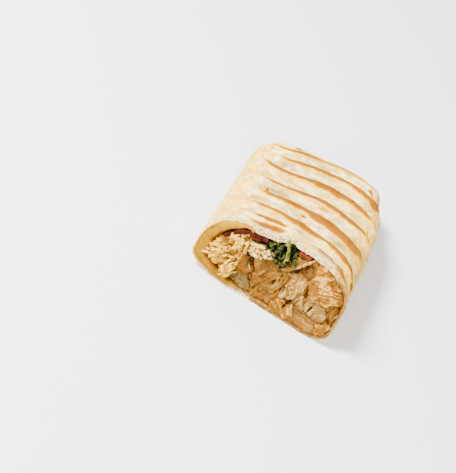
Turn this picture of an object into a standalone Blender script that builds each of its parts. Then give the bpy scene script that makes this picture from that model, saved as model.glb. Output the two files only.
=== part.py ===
"""Half of a grilled chicken wrap, cut across on a slant, lying on its flat underside.

Metres, +Z up. The long axis runs along Y, the cut end faces -Y and the folded end faces +Y.
The origin is on the ground, under the middle of the half.

Every node is lofted in one space: a flat section (x, z) and a station k, which is 0 on the cut,
1 at the shoulder of the folded end and 1 + t on the rounded end. place() turns that into the solid's
own shape, so pieces that are clear of each other in the section are clear of each other everywhere.
"""

import math

import bmesh
import bpy
import numpy as np
from mathutils import Vector

MM = 0.001

# The section, seen from the cut end.
WIDTH = 88.5 * MM
HEIGHT = 40 * MM
HALF = WIDTH / 2
BELLY_LEFT = 10 * MM  # height of the widest point on each side
BELLY_RIGHT = 22 * MM
TOP_POWER = 2.6  # superellipse powers: higher is squarer
LOW_POWER_LEFT = 2.6
LOW_POWER_RIGHT = 5.5
FLAT_TRIM = 0.5 * MM  # pressed flat underneath

# The length, and the planes that end it.
CUT_Y = -60.4 * MM  # the cut plane at the ground, under the middle
CUT_LEAN = math.tan(math.radians(15))  # the knife leaned back
CUT_SKEW = math.tan(math.radians(-4.6))  # and ran a little askew
SHOULDER_Y = 42.2 * MM
END_ROUND = 21 * MM
END_SKEW = math.tan(math.radians(5))
END_LAST = 0.955  # where the rounded end turns into its small end face
END_WIDE_POWER = 3.4
END_TALL_POWER = 2.3
END_LIFT = 7 * MM
LEFT_TAPER = -0.015  # how much narrower each side is at the shoulder: the left is a little wider
RIGHT_TAPER = 0.17
END_HEIGHT_SHARE = 0.812

SHOULDER_RAISE = 6.5 * MM  # behind the sagging cut the pressed roll is squarer
SHOULDER_SOON = 0.18  # share of the length over which that comes, on the left; slower on the right

# The tortilla.
WALL = 1.5 * MM
DOUBLE_WALL = 3.1 * MM  # where the sheet overlaps itself, over the bacon and underneath
GAP = 0.35 * MM
MARK_PITCH = 16.4 * MM  # the grill's bars
MARK_FIRST = 1.2 * MM  # from the cut's upper edge
MARK_COUNT = 7
MARK_FLOOR = 1.3 * MM  # half width of a groove's floor, and of the whole groove
MARK_HALF = 3.3 * MM
BEND_X = (-40, -30, -20, -10, 0, 10, 20, 30, 38)  # how far the sheet moved under the bars, in mm, at these x
BENDS = (
    (0.0, 0.0, 0.0, 0.5, 1.5, 2.5, 3.5, 3.0, 2.0),
    (6.0, 2.6, 2.8, 2.6, 1.4, 2.0, -0.4, -3.8, -6.4),
    (7.0, 1.5, -0.5, 1.0, 2.0, 2.4, 1.4, -0.2, -2.0),
    (8.0, -1.0, -2.6, -1.2, 0.6, 1.0, 1.2, 0.0, -2.1),
    (9.0, -1.3, -1.7, -0.5, 2.4, 4.0, 2.1, -1.4, -5.0),
    (6.0, -3.0, -4.7, -1.8, 2.1, 3.3, 1.0, -1.9, -3.3),
    (-3.0, -7.2, -6.9, -4.7, -2.6, -2.0, -3.0, -3.4, -2.0),
)
MARK_DEPTH = 1.3 * MM
MARK_DEPTH_BELOW = 0.8 * MM
FLAP_STEP = 1.0 * MM  # the end flap's own thickness over the roll
RING = 56
SECTION_MIDDLE = 18 * MM  # height from which directions round the section are told

# Fillings against the wall: name, first and last direction in degrees (0 right, 90 up, 180 left),
# thickness, and what share of it is left at the two ends.
CHEESE = ("cheese", 143, 226, 6.0 * MM, 0.22)
BACON_LEFT = ("bacon_left", 114, 162, 2.4 * MM, 0.6)
BACON_RIGHT = ("bacon_right", 53, 68, 2.4 * MM, 0.7)
LETTUCE_FROM, LETTUCE_TO = 71, 111
LETTUCE_DEEP = 8.8 * MM
LEAF = 0.9 * MM
LEAF_FOLDS = 2.5
UNDER_LEAF_FROM, UNDER_LEAF_TO = 115, 132
INNER_STATIONS = (0.0, 0.08, 0.16, 0.26, 0.38, 0.55, 0.8, 1.0, 1.2, 1.4, 1.6)  # shared, so the chords agree

# Pieces of filling seen in the cut: name, centre x and z, half width, half height, tilt in degrees,
# length back from the cut and how far the face stands out of it.
PIECES = (
    ("chicken_shred_left", -29.0, 16.5, 5.5, 7.5, 15, 42, 0.6),
    ("chicken_shred_low", -22.8, 9.6, 4.4, 5.0, 0, 41, 1.6),
    ("chicken_shred_upper", -22.5, 24.5, 5.5, 4.5, 25, 42, 1.2),
    ("chicken_strand", -17.6, 17.2, 1.5, 7.0, -8, 40, 3.0),
    ("chicken_white_top", -9.5, 29.2, 8.5, 3.8, 8, 42, 1.4),
    ("chicken_brown_left", -13.0, 16.4, 3.6, 4.2, 0, 42, -1.6),
    ("onion", -13.0, 7.2, 6.2, 3.2, -6, 42, 0.4),
    ("chicken_chunk_middle", -1.0, 16.2, 9.6, 10.4, 12, 42, 0.8),
    ("chicken_slice", 8.6, 28.4, 8.0, 3.0, 30, 42, 1.5),
    ("chicken_tan_right", 18.0, 29.8, 4.5, 3.2, -12, 42, -0.6),
    ("chicken_strip_middle", 15.0, 20.4, 3.8, 6.4, -18, 42, 1.6),
    ("chicken_grey_middle", 10.8, 14.2, 2.6, 3.8, -8, 41, 0.0),
    ("chicken_low_middle", 13.4, 6.6, 5.6, 3.8, -6, 42, 0.6),
    ("chicken_chunk_right", 29.8, 26.6, 9.4, 6.0, -10, 44, 1.2),
    ("chicken_pink_right", 31.0, 16.4, 5.2, 4.2, -10, 42, 1.8),
    ("chicken_sliver_right", 23.0, 15.6, 2.5, 4.8, -20, 41, 0.4),
    ("chicken_chunk_low", 27.2, 6.4, 8.0, 4.4, -4, 42, 0.4),
    ("chicken_curl_right", 38.2, 7.8, 3.8, 4.2, 20, 41, 0.8),
    ("chicken_bit_right", 38.8, 19.0, 2.8, 5.0, 10, 41, 0.2),
)
PIECE_SIDES = 12
PIECE_GAP = 0.45 * MM
PIECE_BACK_TAPER = 0.93
FACE_RINGS = ((1.0, -1.5), (0.9, -0.5), (0.66, 0.25), (0.34, 0.8))  # share of the outline, and how far out
CRAG = 0.8 * MM
CORE_GAP = 0.6 * MM

# Unevenness of the whole half.
# The upper edge of the cut is pushed up by what it holds: x, half width and height there.
CRESTS = ((1.5, 4.8, 3.4), (12.0, 9.0, 1.0), (26.0, 19.0, 3.8), (-16.0, 7.0, -1.0))
CREST_LONG = 17 * MM
MIDDLE_X, MIDDLE_Y = 0.5 * MM, -1.4 * MM  # brings the middle of the whole onto the origin
LUMP = 0.75 * MM
SWAY = 0.8 * MM


# ---------------------------------------------------------------- the shared space


def quadrant_point(angle):
    """A point of the section's outline, quarter by quarter a superellipse."""
    across, up = math.cos(angle), math.sin(angle)
    belly = BELLY_RIGHT if across >= 0 else BELLY_LEFT
    if up >= 0:
        power = TOP_POWER
        z = belly + (HEIGHT - belly) * abs(up) ** (2 / power)
    else:
        power = LOW_POWER_RIGHT if across >= 0 else LOW_POWER_LEFT
        z = belly * (1 - abs(up) ** (2 / power))
    x = HALF * math.copysign(abs(across) ** (2 / power), across)
    return x, max(0.0, z - FLAT_TRIM)


def section(count):
    """(points, inward normals) of the outline, evenly spaced from the right side over the top."""
    fine = np.array([quadrant_point(2 * math.pi * i / 1440) for i in range(1440)])
    steps = np.linalg.norm(np.roll(fine, -1, 0) - fine, axis=1)
    along = np.concatenate([[0], np.cumsum(steps)])
    closed = np.vstack([fine, fine[:1]])

    def at(distances):
        wrapped = np.mod(distances, along[-1])
        return np.stack([np.interp(wrapped, along, closed[:, i]) for i in (0, 1)], 1)

    places = np.arange(count) * along[-1] / count
    reach = 2.5 * MM
    tangent = at(places + reach) - at(places - reach)
    tangent /= np.linalg.norm(tangent, axis=1)[:, None]
    return at(places), np.stack([-tangent[:, 1], tangent[:, 0]], 1)


def direction(x, z):
    """Degrees round the section: 0 right, 90 up, 180 left, 270 down."""
    return math.degrees(math.atan2(z - SECTION_MIDDLE, x)) % 360


def ease(value, low, high):
    """0 below low, 1 above high, smooth between."""
    share = min(1.0, max(0.0, (value - low) / (high - low)))
    return share * share * (3 - 2 * share)


def window(value, low, high, soft):
    """1 from low to high, fading to 0 over soft on each side."""
    return ease(value, low - soft, low) * (1 - ease(value, high, high + soft))


def settle(x, y, z):
    """The half's own unevenness: it fades to nothing at the ground."""
    share = z / HEIGHT
    cut_top = CUT_Y + CUT_LEAN * HEIGHT
    crest = sum(rise * MM * math.exp(-(((x - at * MM) / (wide * MM)) ** 2)) for at, wide, rise in CRESTS)
    crest *= math.exp(-(((y - cut_top) / CREST_LONG) ** 2))
    lumps = LUMP * (
        math.sin(x / (9.5 * MM) + 1.2) * math.cos(y / (13 * MM) + 0.6)
        + 0.6 * math.sin(x / (6.2 * MM) + y / (9 * MM))
    )
    sway = SWAY * math.sin(y / (19 * MM) + 0.5)
    return Vector((x + sway * share, y, z + crest * share**2 + lumps * share))


def place(x, z, station, forward=0.0):
    """The point of the solid that stands for (x, z) of the section at a station."""
    cut = CUT_Y + CUT_LEAN * z + CUT_SKEW * x
    shoulder = SHOULDER_Y + END_SKEW * x
    body = min(station, 1.0)
    squarer = SHOULDER_RAISE * abs(x / HALF) ** 3 * ease(z / HEIGHT, 0.2, 0.8)
    soon = SHOULDER_SOON * (1 + 2.2 * ease(x, 0, HALF))
    z += squarer * (1 - math.exp(-body / soon)) * (1 - ease(station, 0.65, 1.12))
    wide = 1 - (LEFT_TAPER + (RIGHT_TAPER - LEFT_TAPER) * (0.5 + x / WIDTH)) * body**3
    tall = 1 - (1 - END_HEIGHT_SHARE) * body**1.2
    y = cut + (shoulder - cut) * body - forward
    lift = 0.0
    if station > 1:
        t = station - 1
        y += END_ROUND * t
        wide *= (1 - t**END_WIDE_POWER) ** (1 / END_WIDE_POWER)
        tall *= (1 - t**END_TALL_POWER) ** (1 / END_TALL_POWER)
        lift = END_LIFT * t**3
    return settle(x * wide + MIDDLE_X, y + MIDDLE_Y, z * tall + lift)


def station_at(top_distance):
    """The station that lies this far back from the cut's upper edge, along the top."""
    body = SHOULDER_Y - (CUT_Y + CUT_LEAN * HEIGHT)
    if top_distance <= body:
        return top_distance / body
    return 1 + (top_distance - body) / END_ROUND


# ---------------------------------------------------------------- depths under the surface


def wall_at(where):
    """The tortilla's thickness, in the direction where."""
    doubled = max(window(where, 88, 130, 7), window(where, 228, 298, 6))
    return WALL + (DOUBLE_WALL - WALL) * doubled


def lining_share(lining, where):
    """What share of its full thickness a lining has in the direction where, 0 outside it."""
    _, first, last, _, thin = lining
    if not first <= where <= last:
        return 0.0
    bulge = math.sin(math.pi * (where - first) / (last - first)) ** 0.7
    return thin + (1 - thin) * bulge


def behind_cheese(where):
    """How far under the surface the next lining lies."""
    thick = CHEESE[3] * max(CHEESE[4], lining_share(CHEESE, where)) + GAP
    cheese = thick * ease(where, CHEESE[1] - 7, CHEESE[1])
    return wall_at(where) + GAP + cheese * (1 - ease(where, CHEESE[2], CHEESE[2] + 7))


def cavity_depth(where):
    """How far under the surface the chicken begins."""
    soft = 4
    bacon = (BACON_LEFT[3] + GAP) * window(where, BACON_LEFT[1], BACON_LEFT[2], soft)
    bacon_right = BACON_RIGHT[3] * window(where, BACON_RIGHT[1], BACON_RIGHT[2], soft)
    leaf = (LEAF + 2 * GAP) * window(where, UNDER_LEAF_FROM, UNDER_LEAF_TO, soft)
    lettuce = LETTUCE_DEEP * window(where, LETTUCE_FROM, LETTUCE_TO, soft)
    return behind_cheese(where) + GAP + max(bacon + leaf, bacon_right, lettuce)


# ---------------------------------------------------------------- meshes


def material(name, colour, roughness):
    made = bpy.data.materials.new(name)
    made.use_nodes = True
    shader = made.node_tree.nodes["Principled BSDF"]
    shader.inputs["Base Color"].default_value = (*colour, 1)
    shader.inputs["Roughness"].default_value = roughness
    shader.inputs["Metallic"].default_value = 0
    return made


def loft(name, rings, paint, fan=True):
    """A closed solid through rings of equally many points. Its ends are fans, or strips across a band."""
    mesh = bmesh.new()
    rows = [[mesh.verts.new(point) for point in ring] for ring in rings]
    count = len(rows[0])
    for row, following in zip(rows, rows[1:]):
        for i in range(count):
            j = (i + 1) % count
            mesh.faces.new((row[i], row[j], following[j], following[i]))
    for row in (rows[0], rows[-1]):
        if fan:
            middle = mesh.verts.new(sum((v.co for v in row), Vector()) / count)
            for i in range(count):
                mesh.faces.new((row[i], row[(i + 1) % count], middle))
        else:
            for i in range(count // 2 - 1):
                mesh.faces.new((row[i], row[i + 1], row[count - 2 - i], row[count - 1 - i]))
    bmesh.ops.recalc_face_normals(mesh, faces=mesh.faces)
    bmesh.ops.triangulate(mesh, faces=mesh.faces)
    data = bpy.data.meshes.new(name)
    mesh.to_mesh(data)
    mesh.free()
    data.materials.append(paint)
    data.shade_smooth()
    data.set_sharp_from_angle(angle=math.radians(50))
    made = bpy.data.objects.new(name, data)
    bpy.context.scene.collection.objects.link(made)
    return made


# ---------------------------------------------------------------- the tortilla


def mark_profile(top_distance):
    """1 on the floor of a grill mark, 0 between marks."""
    nearest = min(
        abs(top_distance - MARK_FIRST - i * MARK_PITCH) for i in range(MARK_COUNT)
    )
    return 1 - ease(nearest, MARK_FLOOR, MARK_HALF)


def bent(x, top_distance):
    """The distance along the top, moved as the grill marks are bent there."""
    rows = [np.interp(x / MM, BEND_X, row) * MM for row in BENDS]
    marks = [MARK_FIRST + i * MARK_PITCH for i in range(MARK_COUNT)]
    last = marks[-1] + MARK_PITCH
    return top_distance + float(np.interp(top_distance, [0, *marks, last], [0, *rows, 0]))


def tortilla_stations():
    """(station, distance along the top) of each ring: four at each mark, one between, more on the end."""
    distances = [0.0]
    for i in range(MARK_COUNT):
        middle = MARK_FIRST + i * MARK_PITCH
        offsets = (-MARK_HALF, -MARK_FLOOR, MARK_FLOOR, MARK_HALF, MARK_PITCH / 2)
        distances += [middle + o for o in offsets if middle + o > 0.2 * MM]
    body = SHOULDER_Y - (CUT_Y + CUT_LEAN * HEIGHT)
    last = body + END_ROUND * END_LAST
    distances = [d for d in distances if d < body + 0.62 * END_ROUND]
    distances += [body + END_ROUND * t for t in (0.72, 0.8, 0.87, 0.92)]
    distances.append(last)
    return [(station_at(d), d) for d in distances]


def relief(where, top_distance, station):
    """How far the surface stands out of its smooth shape."""
    on_top = window(where, 34, 150, 7)
    underneath = window(where, 236, 312, 5)
    pressed = mark_profile(top_distance)
    out = -MARK_DEPTH * pressed * on_top - MARK_DEPTH_BELOW * pressed * underneath
    flap_edge = 1.22 - 0.36 * max(0.0, math.cos(math.radians(where - 5))) ** 4
    flapped = max(window(where, -1, 140, 20), window(where, 330, 361, 12))
    flap = ease(station, flap_edge, flap_edge + 0.05) * flapped
    return out + FLAP_STEP * flap


def tortilla(paint):
    points, inward = section(RING)
    wheres = [direction(x, z) for x, z in points]
    rings = []
    last = tortilla_stations()[-1][1]
    for station, top_distance in reversed(tortilla_stations()):
        ring = []
        for (x, z), (nx, nz), where in zip(points, inward, wheres):
            out = relief(where, top_distance, station)
            there = station_at(bent(x, top_distance)) if 0 < top_distance < last else station
            ring.append(place(x - nx * out, max(0.0, z - nz * out), there))
        rings.append(ring)
    for station in (*INNER_STATIONS, 1.75, 1.86):
        ring = []
        for (x, z), (nx, nz), where in zip(points, inward, wheres):
            depth = wall_at(where)
            ring.append(place(x + nx * depth, z + nz * depth, station))
        rings.append(ring)
    return loft("tortilla", rings, paint)


# ---------------------------------------------------------------- fillings against the wall


def band_ring(wheres_points, near, far, station, forward):
    """One ring of a band that follows the wall: its outer edge, then its inner edge back."""
    outer, inner = [], []
    for (x, z), (nx, nz), where in wheres_points:
        top, bottom = near(where, station), far(where, station)
        outer.append(place(x + nx * top, z + nz * top, station, forward))
        inner.append(place(x + nx * bottom, z + nz * bottom, station, forward))
    return outer + inner[::-1]


def between(first, last, count):
    """Outline points from one direction to another: evenly spread, or the tortilla's own if count is 0."""
    points, inward = section(720 if count else RING)
    wheres = np.array([direction(x, z) for x, z in points])
    if count:
        chosen = [int(np.argmin(abs(wheres - w))) for w in np.linspace(first, last, count)]
    else:
        chosen = np.nonzero((wheres >= first) & (wheres <= last))[0]
    return [(points[i], inward[i], wheres[i]) for i in chosen]


def band(name, first, last, count, near, far, stations, paint):
    chosen = between(first, last, count)
    rings = [band_ring(chosen, near, far, k, forward) for k, forward in stations]
    return loft(name, rings, paint, fan=False)


def lining(facts, forward, paint):
    """Cheese or bacon: a band of changing thickness right under the tortilla."""
    name, first, last, thickness, _ = facts

    def near(where, station):
        return wall_at(where) + GAP if name == "cheese" else behind_cheese(where)

    def far(where, station):
        wave = 1 - 0.1 * math.sin(9 * station + where / 9) ** 2
        return near(where, station) + thickness * max(facts[4], lining_share(facts, where)) * wave

    stations = [(0.0, forward), *((k, 0.0) for k in INNER_STATIONS[1:])]
    return band(name, first, last, 0, near, far, stations, paint)


def lettuce(paint):
    """A frilled leaf folded to and fro under the top, and a flat one under the bacon."""
    span = LETTUCE_TO - LETTUCE_FROM

    def middle(where, station):
        share = (where - LETTUCE_FROM) / span
        swing = math.sin(2 * math.pi * LEAF_FOLDS * share + 1.3 * station)
        room = LETTUCE_DEEP / 2 - LEAF - GAP
        return wall_at(where) + GAP + LETTUCE_DEEP / 2 + room * swing

    def slope_share(where, station):
        """How much thicker the leaf must be drawn, as it is cut through at a slant."""
        step = 0.5
        rise = (middle(where + step, station) - middle(where - step, station)) / (2 * step)
        per_degree = 0.4 * MM
        return min(2.6, math.hypot(1, rise / per_degree))

    stations = [(0.0, 1.2 * MM), *((k, 0.0) for k in INNER_STATIONS[1:-1])]
    band(
        "lettuce_leaf",
        LETTUCE_FROM + 0.5,
        LETTUCE_TO - 0.5,
        26,
        lambda w, k: middle(w, k) - LEAF / 2 * slope_share(w, k),
        lambda w, k: middle(w, k) + LEAF / 2 * slope_share(w, k),
        stations,
        paint,
    )

    def under(where, station):
        wave = 0.12 * MM * math.sin(where / 3.1 + 5 * station)
        return behind_cheese(where) + 1.12 * BACON_LEFT[3] + GAP + wave

    band(
        "lettuce_leaf_under",
        UNDER_LEAF_FROM,
        UNDER_LEAF_TO,
        10,
        under,
        lambda w, k: under(w, k) + 0.75 * LEAF,
        [(0.0, 0.8 * MM), *((k, 0.0) for k in INNER_STATIONS[1:-2])],
        paint,
    )


# ---------------------------------------------------------------- pieces seen in the cut


def cavity(count):
    """The outline of the room that the linings leave, as points of the section."""
    points, inward = section(count)
    found = []
    for (x, z), (nx, nz) in zip(points, inward):
        depth = cavity_depth(direction(x, z))
        found.append((x + nx * depth, z + nz * depth))
    return np.array(found)


def inside(outline, points):
    """Which points lie inside a closed outline, by the even-odd rule."""
    x, z = points[:, 0], points[:, 1]
    found = np.zeros(len(points), bool)
    for (x1, z1), (x2, z2) in zip(outline, np.roll(outline, -1, 0)):
        crosses = (z1 > z) != (z2 > z)
        rise = z2 - z1 if z2 != z1 else 1e-12
        found ^= crosses & (x < (x2 - x1) * (z - z1) / rise + x1)
    return found


def nearness(piece, points):
    """Distance from a piece's centre, in half sizes of the piece."""
    _, x, z, half_x, half_z, tilt, _, _ = piece
    turn = math.radians(tilt)
    across, up = points[:, 0] - x * MM, points[:, 1] - z * MM
    along = (across * math.cos(turn) + up * math.sin(turn)) / (half_x * MM)
    over = (up * math.cos(turn) - across * math.sin(turn)) / (half_z * MM)
    return np.hypot(along, over)


def piece_outline(piece, room):
    """The piece's outline: out from its centre to the wall, or half way to its neighbours."""
    centre = np.array([piece[1], piece[2]]) * MM
    reach = np.arange(0, 40, 0.1) * MM
    others = [p for p in PIECES if p is not piece]
    found = []
    for i in range(PIECE_SIDES):
        angle = 2 * math.pi * i / PIECE_SIDES
        ray = centre + reach[:, None] * np.array([math.cos(angle), math.sin(angle)])
        own = nearness(piece, ray)
        free = inside(room, ray)
        for other in others:
            free &= nearness(other, ray) > own
        stop = int(np.argmin(free)) - 1
        found.append(centre + (ray[stop] - centre) * max(0.2, 1 - PIECE_GAP / max(reach[stop], MM)))
    return np.array(found)


def piece_outlines(room):
    """Every piece's outline, drawn in wherever its straight sides would cut across a neighbour's corner."""
    middles = [np.array([p[1], p[2]]) * MM for p in PIECES]
    outlines = [piece_outline(p, room) for p in PIECES]
    shares = np.linspace(0, 1, 9)[:, None]
    for _ in range(14):
        settled = True
        for i, own in enumerate(outlines):
            for j, other in enumerate(outlines):
                if i == j:
                    continue
                grown = middles[j] + (other - middles[j]) * 1.04
                for a in range(PIECE_SIDES):
                    b = (a + 1) % PIECE_SIDES
                    side = own[a] + (own[b] - own[a]) * shares
                    if inside(grown, side).any():
                        own[a] += (middles[i] - own[a]) * 0.04
                        own[b] += (middles[i] - own[b]) * 0.04
                        settled = False
        if settled:
            break
    return outlines


def crag(x, z, seed):
    """A rough surface's height at a point, from -1 to 1."""
    return 0.6 * math.sin(x / (2.3 * MM) + seed) * math.cos(z / (2.7 * MM) - 2 * seed) + 0.4 * math.sin(
        x / (1.4 * MM) - z / (1.7 * MM) + 3 * seed
    )


def filling_piece(number, piece, outline, paint):
    """A piece of filling: a craggy face at the cut, and a body that narrows towards its back."""
    name, x, z, _, _, _, length, stands_out = piece
    centre = np.array([x, z]) * MM
    rings = []
    for share, out in reversed(FACE_RINGS):
        ring = []
        for px, pz in centre + (outline - centre) * share:
            rough = CRAG * crag(px, pz, number) * (1 - 0.6 * (share == 1.0))
            ring.append(place(px, pz, 0.0, (out + stands_out) * MM + rough))
        rings.append(ring)
    body = SHOULDER_Y - CUT_Y
    for share in (0.25, 0.5, 0.75, 0.93, 1.0):
        narrow = 1 - (1 - PIECE_BACK_TAPER) * share**2 - 0.3 * (share == 1.0)
        shape = centre + (outline - centre) * narrow
        rings.append([place(px, pz, length * MM * share / body) for px, pz in shape])
    return loft(name, rings, paint)


def chicken_core(paint):
    """The rest of the chicken, packed behind the pieces that show, to the folded end."""
    first = (max(piece[6] for piece in PIECES) * MM + CORE_GAP) / (SHOULDER_Y - CUT_Y)
    room = cavity(48)
    middle = room.mean(0)
    rings = []
    stations = ((first, 0.8), (first + 0.02, 0.93), (0.55, 0.94), (0.8, 0.94), (1.0, 0.94), (1.2, 0.93))
    for station, share in (*stations, (1.4, 0.92), (1.6, 0.86), (1.65, 0.7)):
        rings.append([place(x, z, station) for x, z in middle + (room - middle) * share])
    return loft("chicken_core", rings, paint)


def main():
    for leftover in list(bpy.data.objects):
        bpy.data.objects.remove(leftover)
    bread = material("tortilla", (0.84, 0.76, 0.6), 0.7)
    melted = material("cheese", (0.85, 0.56, 0.14), 0.35)
    meat = material("chicken", (0.66, 0.4, 0.16), 0.55)
    rasher = material("bacon", (0.3, 0.06, 0.03), 0.45)
    leaf = material("lettuce", (0.08, 0.2, 0.03), 0.4)
    bulb = material("onion", (0.55, 0.5, 0.24), 0.35)

    tortilla(bread)
    lining(CHEESE, 0.5 * MM, melted)
    lining(BACON_LEFT, 1.0 * MM, rasher)
    lining(BACON_RIGHT, 1.2 * MM, rasher)
    lettuce(leaf)
    for number, (piece, outline) in enumerate(zip(PIECES, piece_outlines(cavity(240)))):
        filling_piece(number, piece, outline, bulb if piece[0] == "onion" else meat)
    chicken_core(meat)


main()
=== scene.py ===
"""Half of a grilled chicken wrap: the toasted tortilla, the melted cheese and the filling in the cut.

Metres, +Z up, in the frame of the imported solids. Every piece is shaped in one space, as the solids are:
a flat section (x, z) and a station along the roll. place() turns that into the real shape.
"""

import math

import bmesh
import bpy
import numpy as np
from mathutils import Matrix

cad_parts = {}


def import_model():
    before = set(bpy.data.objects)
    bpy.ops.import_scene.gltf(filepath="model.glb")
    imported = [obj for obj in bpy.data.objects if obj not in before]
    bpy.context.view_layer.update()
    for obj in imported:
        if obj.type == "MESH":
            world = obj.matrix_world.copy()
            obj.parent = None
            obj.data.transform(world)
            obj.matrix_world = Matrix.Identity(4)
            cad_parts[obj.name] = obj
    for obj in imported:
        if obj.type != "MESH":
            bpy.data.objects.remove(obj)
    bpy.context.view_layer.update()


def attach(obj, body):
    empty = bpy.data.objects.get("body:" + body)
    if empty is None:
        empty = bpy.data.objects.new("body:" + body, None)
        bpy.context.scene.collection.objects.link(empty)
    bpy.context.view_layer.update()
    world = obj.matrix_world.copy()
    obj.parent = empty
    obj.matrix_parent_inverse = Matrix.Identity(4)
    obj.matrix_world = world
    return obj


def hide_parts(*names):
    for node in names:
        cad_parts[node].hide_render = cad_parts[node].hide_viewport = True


MM = 0.001

# ---------------------------------------------------------------- sizes, as in the solids

WIDTH, HEIGHT = 88.5 * MM, 40 * MM
HALF = WIDTH / 2
BELLY_LEFT, BELLY_RIGHT = 10 * MM, 22 * MM
TOP_POWER, LOW_POWER_LEFT, LOW_POWER_RIGHT = 2.6, 2.6, 5.5
FLAT_TRIM = 0.5 * MM
CUT_Y, CUT_LEAN, CUT_SKEW = -60.4 * MM, math.tan(math.radians(15)), math.tan(math.radians(-4.6))
SHOULDER_Y, END_ROUND, END_SKEW = 42.2 * MM, 21 * MM, math.tan(math.radians(5))
END_WIDE_POWER, END_TALL_POWER, END_LIFT = 3.4, 2.3, 7 * MM
LEFT_TAPER, RIGHT_TAPER, END_HEIGHT_SHARE = -0.015, 0.17, 0.812
SHOULDER_RAISE, SHOULDER_SOON = 6.5 * MM, 0.18
WALL, DOUBLE_WALL, GAP = 1.5 * MM, 3.1 * MM, 0.35 * MM
MARK_PITCH, MARK_FIRST, MARK_COUNT = 16.4 * MM, 1.2 * MM, 7
# The grill marks, at these x: how far the sheet moved under each bar, half the width and the strength.
MARK_X = (-40, -30, -20, -10, 0, 10, 20, 30, 38)
BENDS = (
    (0.0, 0.0, 0.0, 0.5, 1.5, 2.5, 3.5, 3.0, 2.0),
    (6.0, 2.6, 2.8, 2.6, 1.4, 2.0, -0.4, -3.8, -6.4),
    (7.0, 1.5, -0.5, 1.0, 2.0, 2.4, 1.4, -0.2, -2.0),
    (8.0, -1.0, -2.6, -1.2, 0.6, 1.0, 1.2, 0.0, -2.1),
    (9.0, -1.3, -1.7, -0.5, 2.4, 4.0, 2.1, -1.4, -5.0),
    (6.0, -3.0, -4.7, -1.8, 2.1, 3.3, 1.0, -1.9, -3.3),
    (-3.0, -7.2, -6.9, -4.7, -2.6, -2.0, -3.0, -3.4, -2.0),
)
MARK_HALVES = (
    (1.0, 1.0, 1.0, 1.0, 1.0, 1.0, 1.0, 1.0, 1.0),
    (1.0, 1.1, 1.4, 1.5, 2.4, 2.3, 1.9, 2.0, 1.6),
    (1.0, 0.9, 1.5, 1.8, 2.3, 3.0, 3.1, 3.4, 3.0),
    (1.0, 1.0, 1.3, 1.3, 1.5, 1.6, 1.8, 1.5, 1.0),
    (1.2, 1.6, 1.6, 1.8, 2.3, 2.8, 2.2, 1.7, 1.2),
    (0.8, 1.3, 1.4, 1.5, 1.5, 1.7, 1.9, 2.8, 3.3),
    (0.8, 1.2, 1.4, 1.6, 1.8, 1.8, 1.6, 1.2, 1.2),
)
MARK_TONES = (
    (0.00, 0.00, 0.00, 0.00, 0.00, 0.15, 0.30, 0.20, 0.10),
    (0.00, 0.18, 0.60, 0.75, 1.00, 0.95, 0.90, 0.85, 0.60),
    (0.02, 0.14, 0.90, 1.00, 1.00, 1.10, 1.05, 1.05, 0.45),
    (0.02, 0.34, 0.80, 0.85, 0.90, 0.85, 0.90, 0.85, 0.22),
    (0.04, 0.80, 1.00, 1.00, 1.05, 1.10, 1.00, 0.95, 0.12),
    (0.10, 0.34, 0.70, 0.75, 0.85, 0.90, 0.85, 0.90, 0.80),
    (0.00, 0.60, 0.85, 0.48, 0.42, 0.42, 0.36, 0.20, 0.10),
)
SECTION_MIDDLE = 18 * MM
CRESTS, CREST_LONG = ((1.5, 4.8, 3.4), (12.0, 9.0, 1.0), (26.0, 19.0, 3.8), (-16.0, 7.0, -1.0)), 17 * MM
MIDDLE_X, MIDDLE_Y, LUMP, SWAY = 0.5 * MM, -1.4 * MM, 0.75 * MM, 0.8 * MM

CHEESE = (143, 226, 6.0 * MM, 0.22)  # from, to, thickness, share left at the ends
BACON_LEFT = (114, 162, 2.4 * MM, 0.6)
BACON_RIGHT = (53, 68, 2.4 * MM, 0.7)
LETTUCE = (71, 111, 8.8 * MM)
UNDER_LEAF = (115, 132, 0.9 * MM)

# Pieces: name, middle x and z, half width, half height, tilt, length back, how far the face stands out.
PIECES = (
    ("chicken_shred_left", -29.0, 16.5, 5.5, 7.5, 15, 42, 0.6),
    ("chicken_shred_low", -22.8, 9.6, 4.4, 5.0, 0, 41, 1.6),
    ("chicken_shred_upper", -22.5, 24.5, 5.5, 4.5, 25, 42, 1.2),
    ("chicken_strand", -17.6, 17.2, 1.5, 7.0, -8, 40, 3.0),
    ("chicken_white_top", -9.5, 29.2, 8.5, 3.8, 8, 42, 1.4),
    ("chicken_brown_left", -13.0, 16.4, 3.6, 4.2, 0, 42, -1.6),
    ("onion", -13.0, 7.2, 6.2, 3.2, -6, 42, 0.4),
    ("chicken_chunk_middle", -1.0, 16.2, 9.6, 10.4, 12, 42, 0.8),
    ("chicken_slice", 8.6, 28.4, 8.0, 3.0, 30, 42, 1.5),
    ("chicken_tan_right", 18.0, 29.8, 4.5, 3.2, -12, 42, -0.6),
    ("chicken_strip_middle", 15.0, 20.4, 3.8, 6.4, -18, 42, 1.6),
    ("chicken_grey_middle", 10.8, 14.2, 2.6, 3.8, -8, 41, 0.0),
    ("chicken_low_middle", 13.4, 6.6, 5.6, 3.8, -6, 42, 0.6),
    ("chicken_chunk_right", 29.8, 26.6, 9.4, 6.0, -10, 44, 1.2),
    ("chicken_pink_right", 31.0, 16.4, 5.2, 4.2, -10, 42, 1.8),
    ("chicken_sliver_right", 23.0, 15.6, 2.5, 4.8, -20, 41, 0.4),
    ("chicken_chunk_low", 27.2, 6.4, 8.0, 4.4, -4, 42, 0.4),
    ("chicken_curl_right", 38.2, 7.8, 3.8, 4.2, 20, 41, 0.8),
    ("chicken_bit_right", 38.8, 19.0, 2.8, 5.0, 10, 41, 0.2),
)

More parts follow.
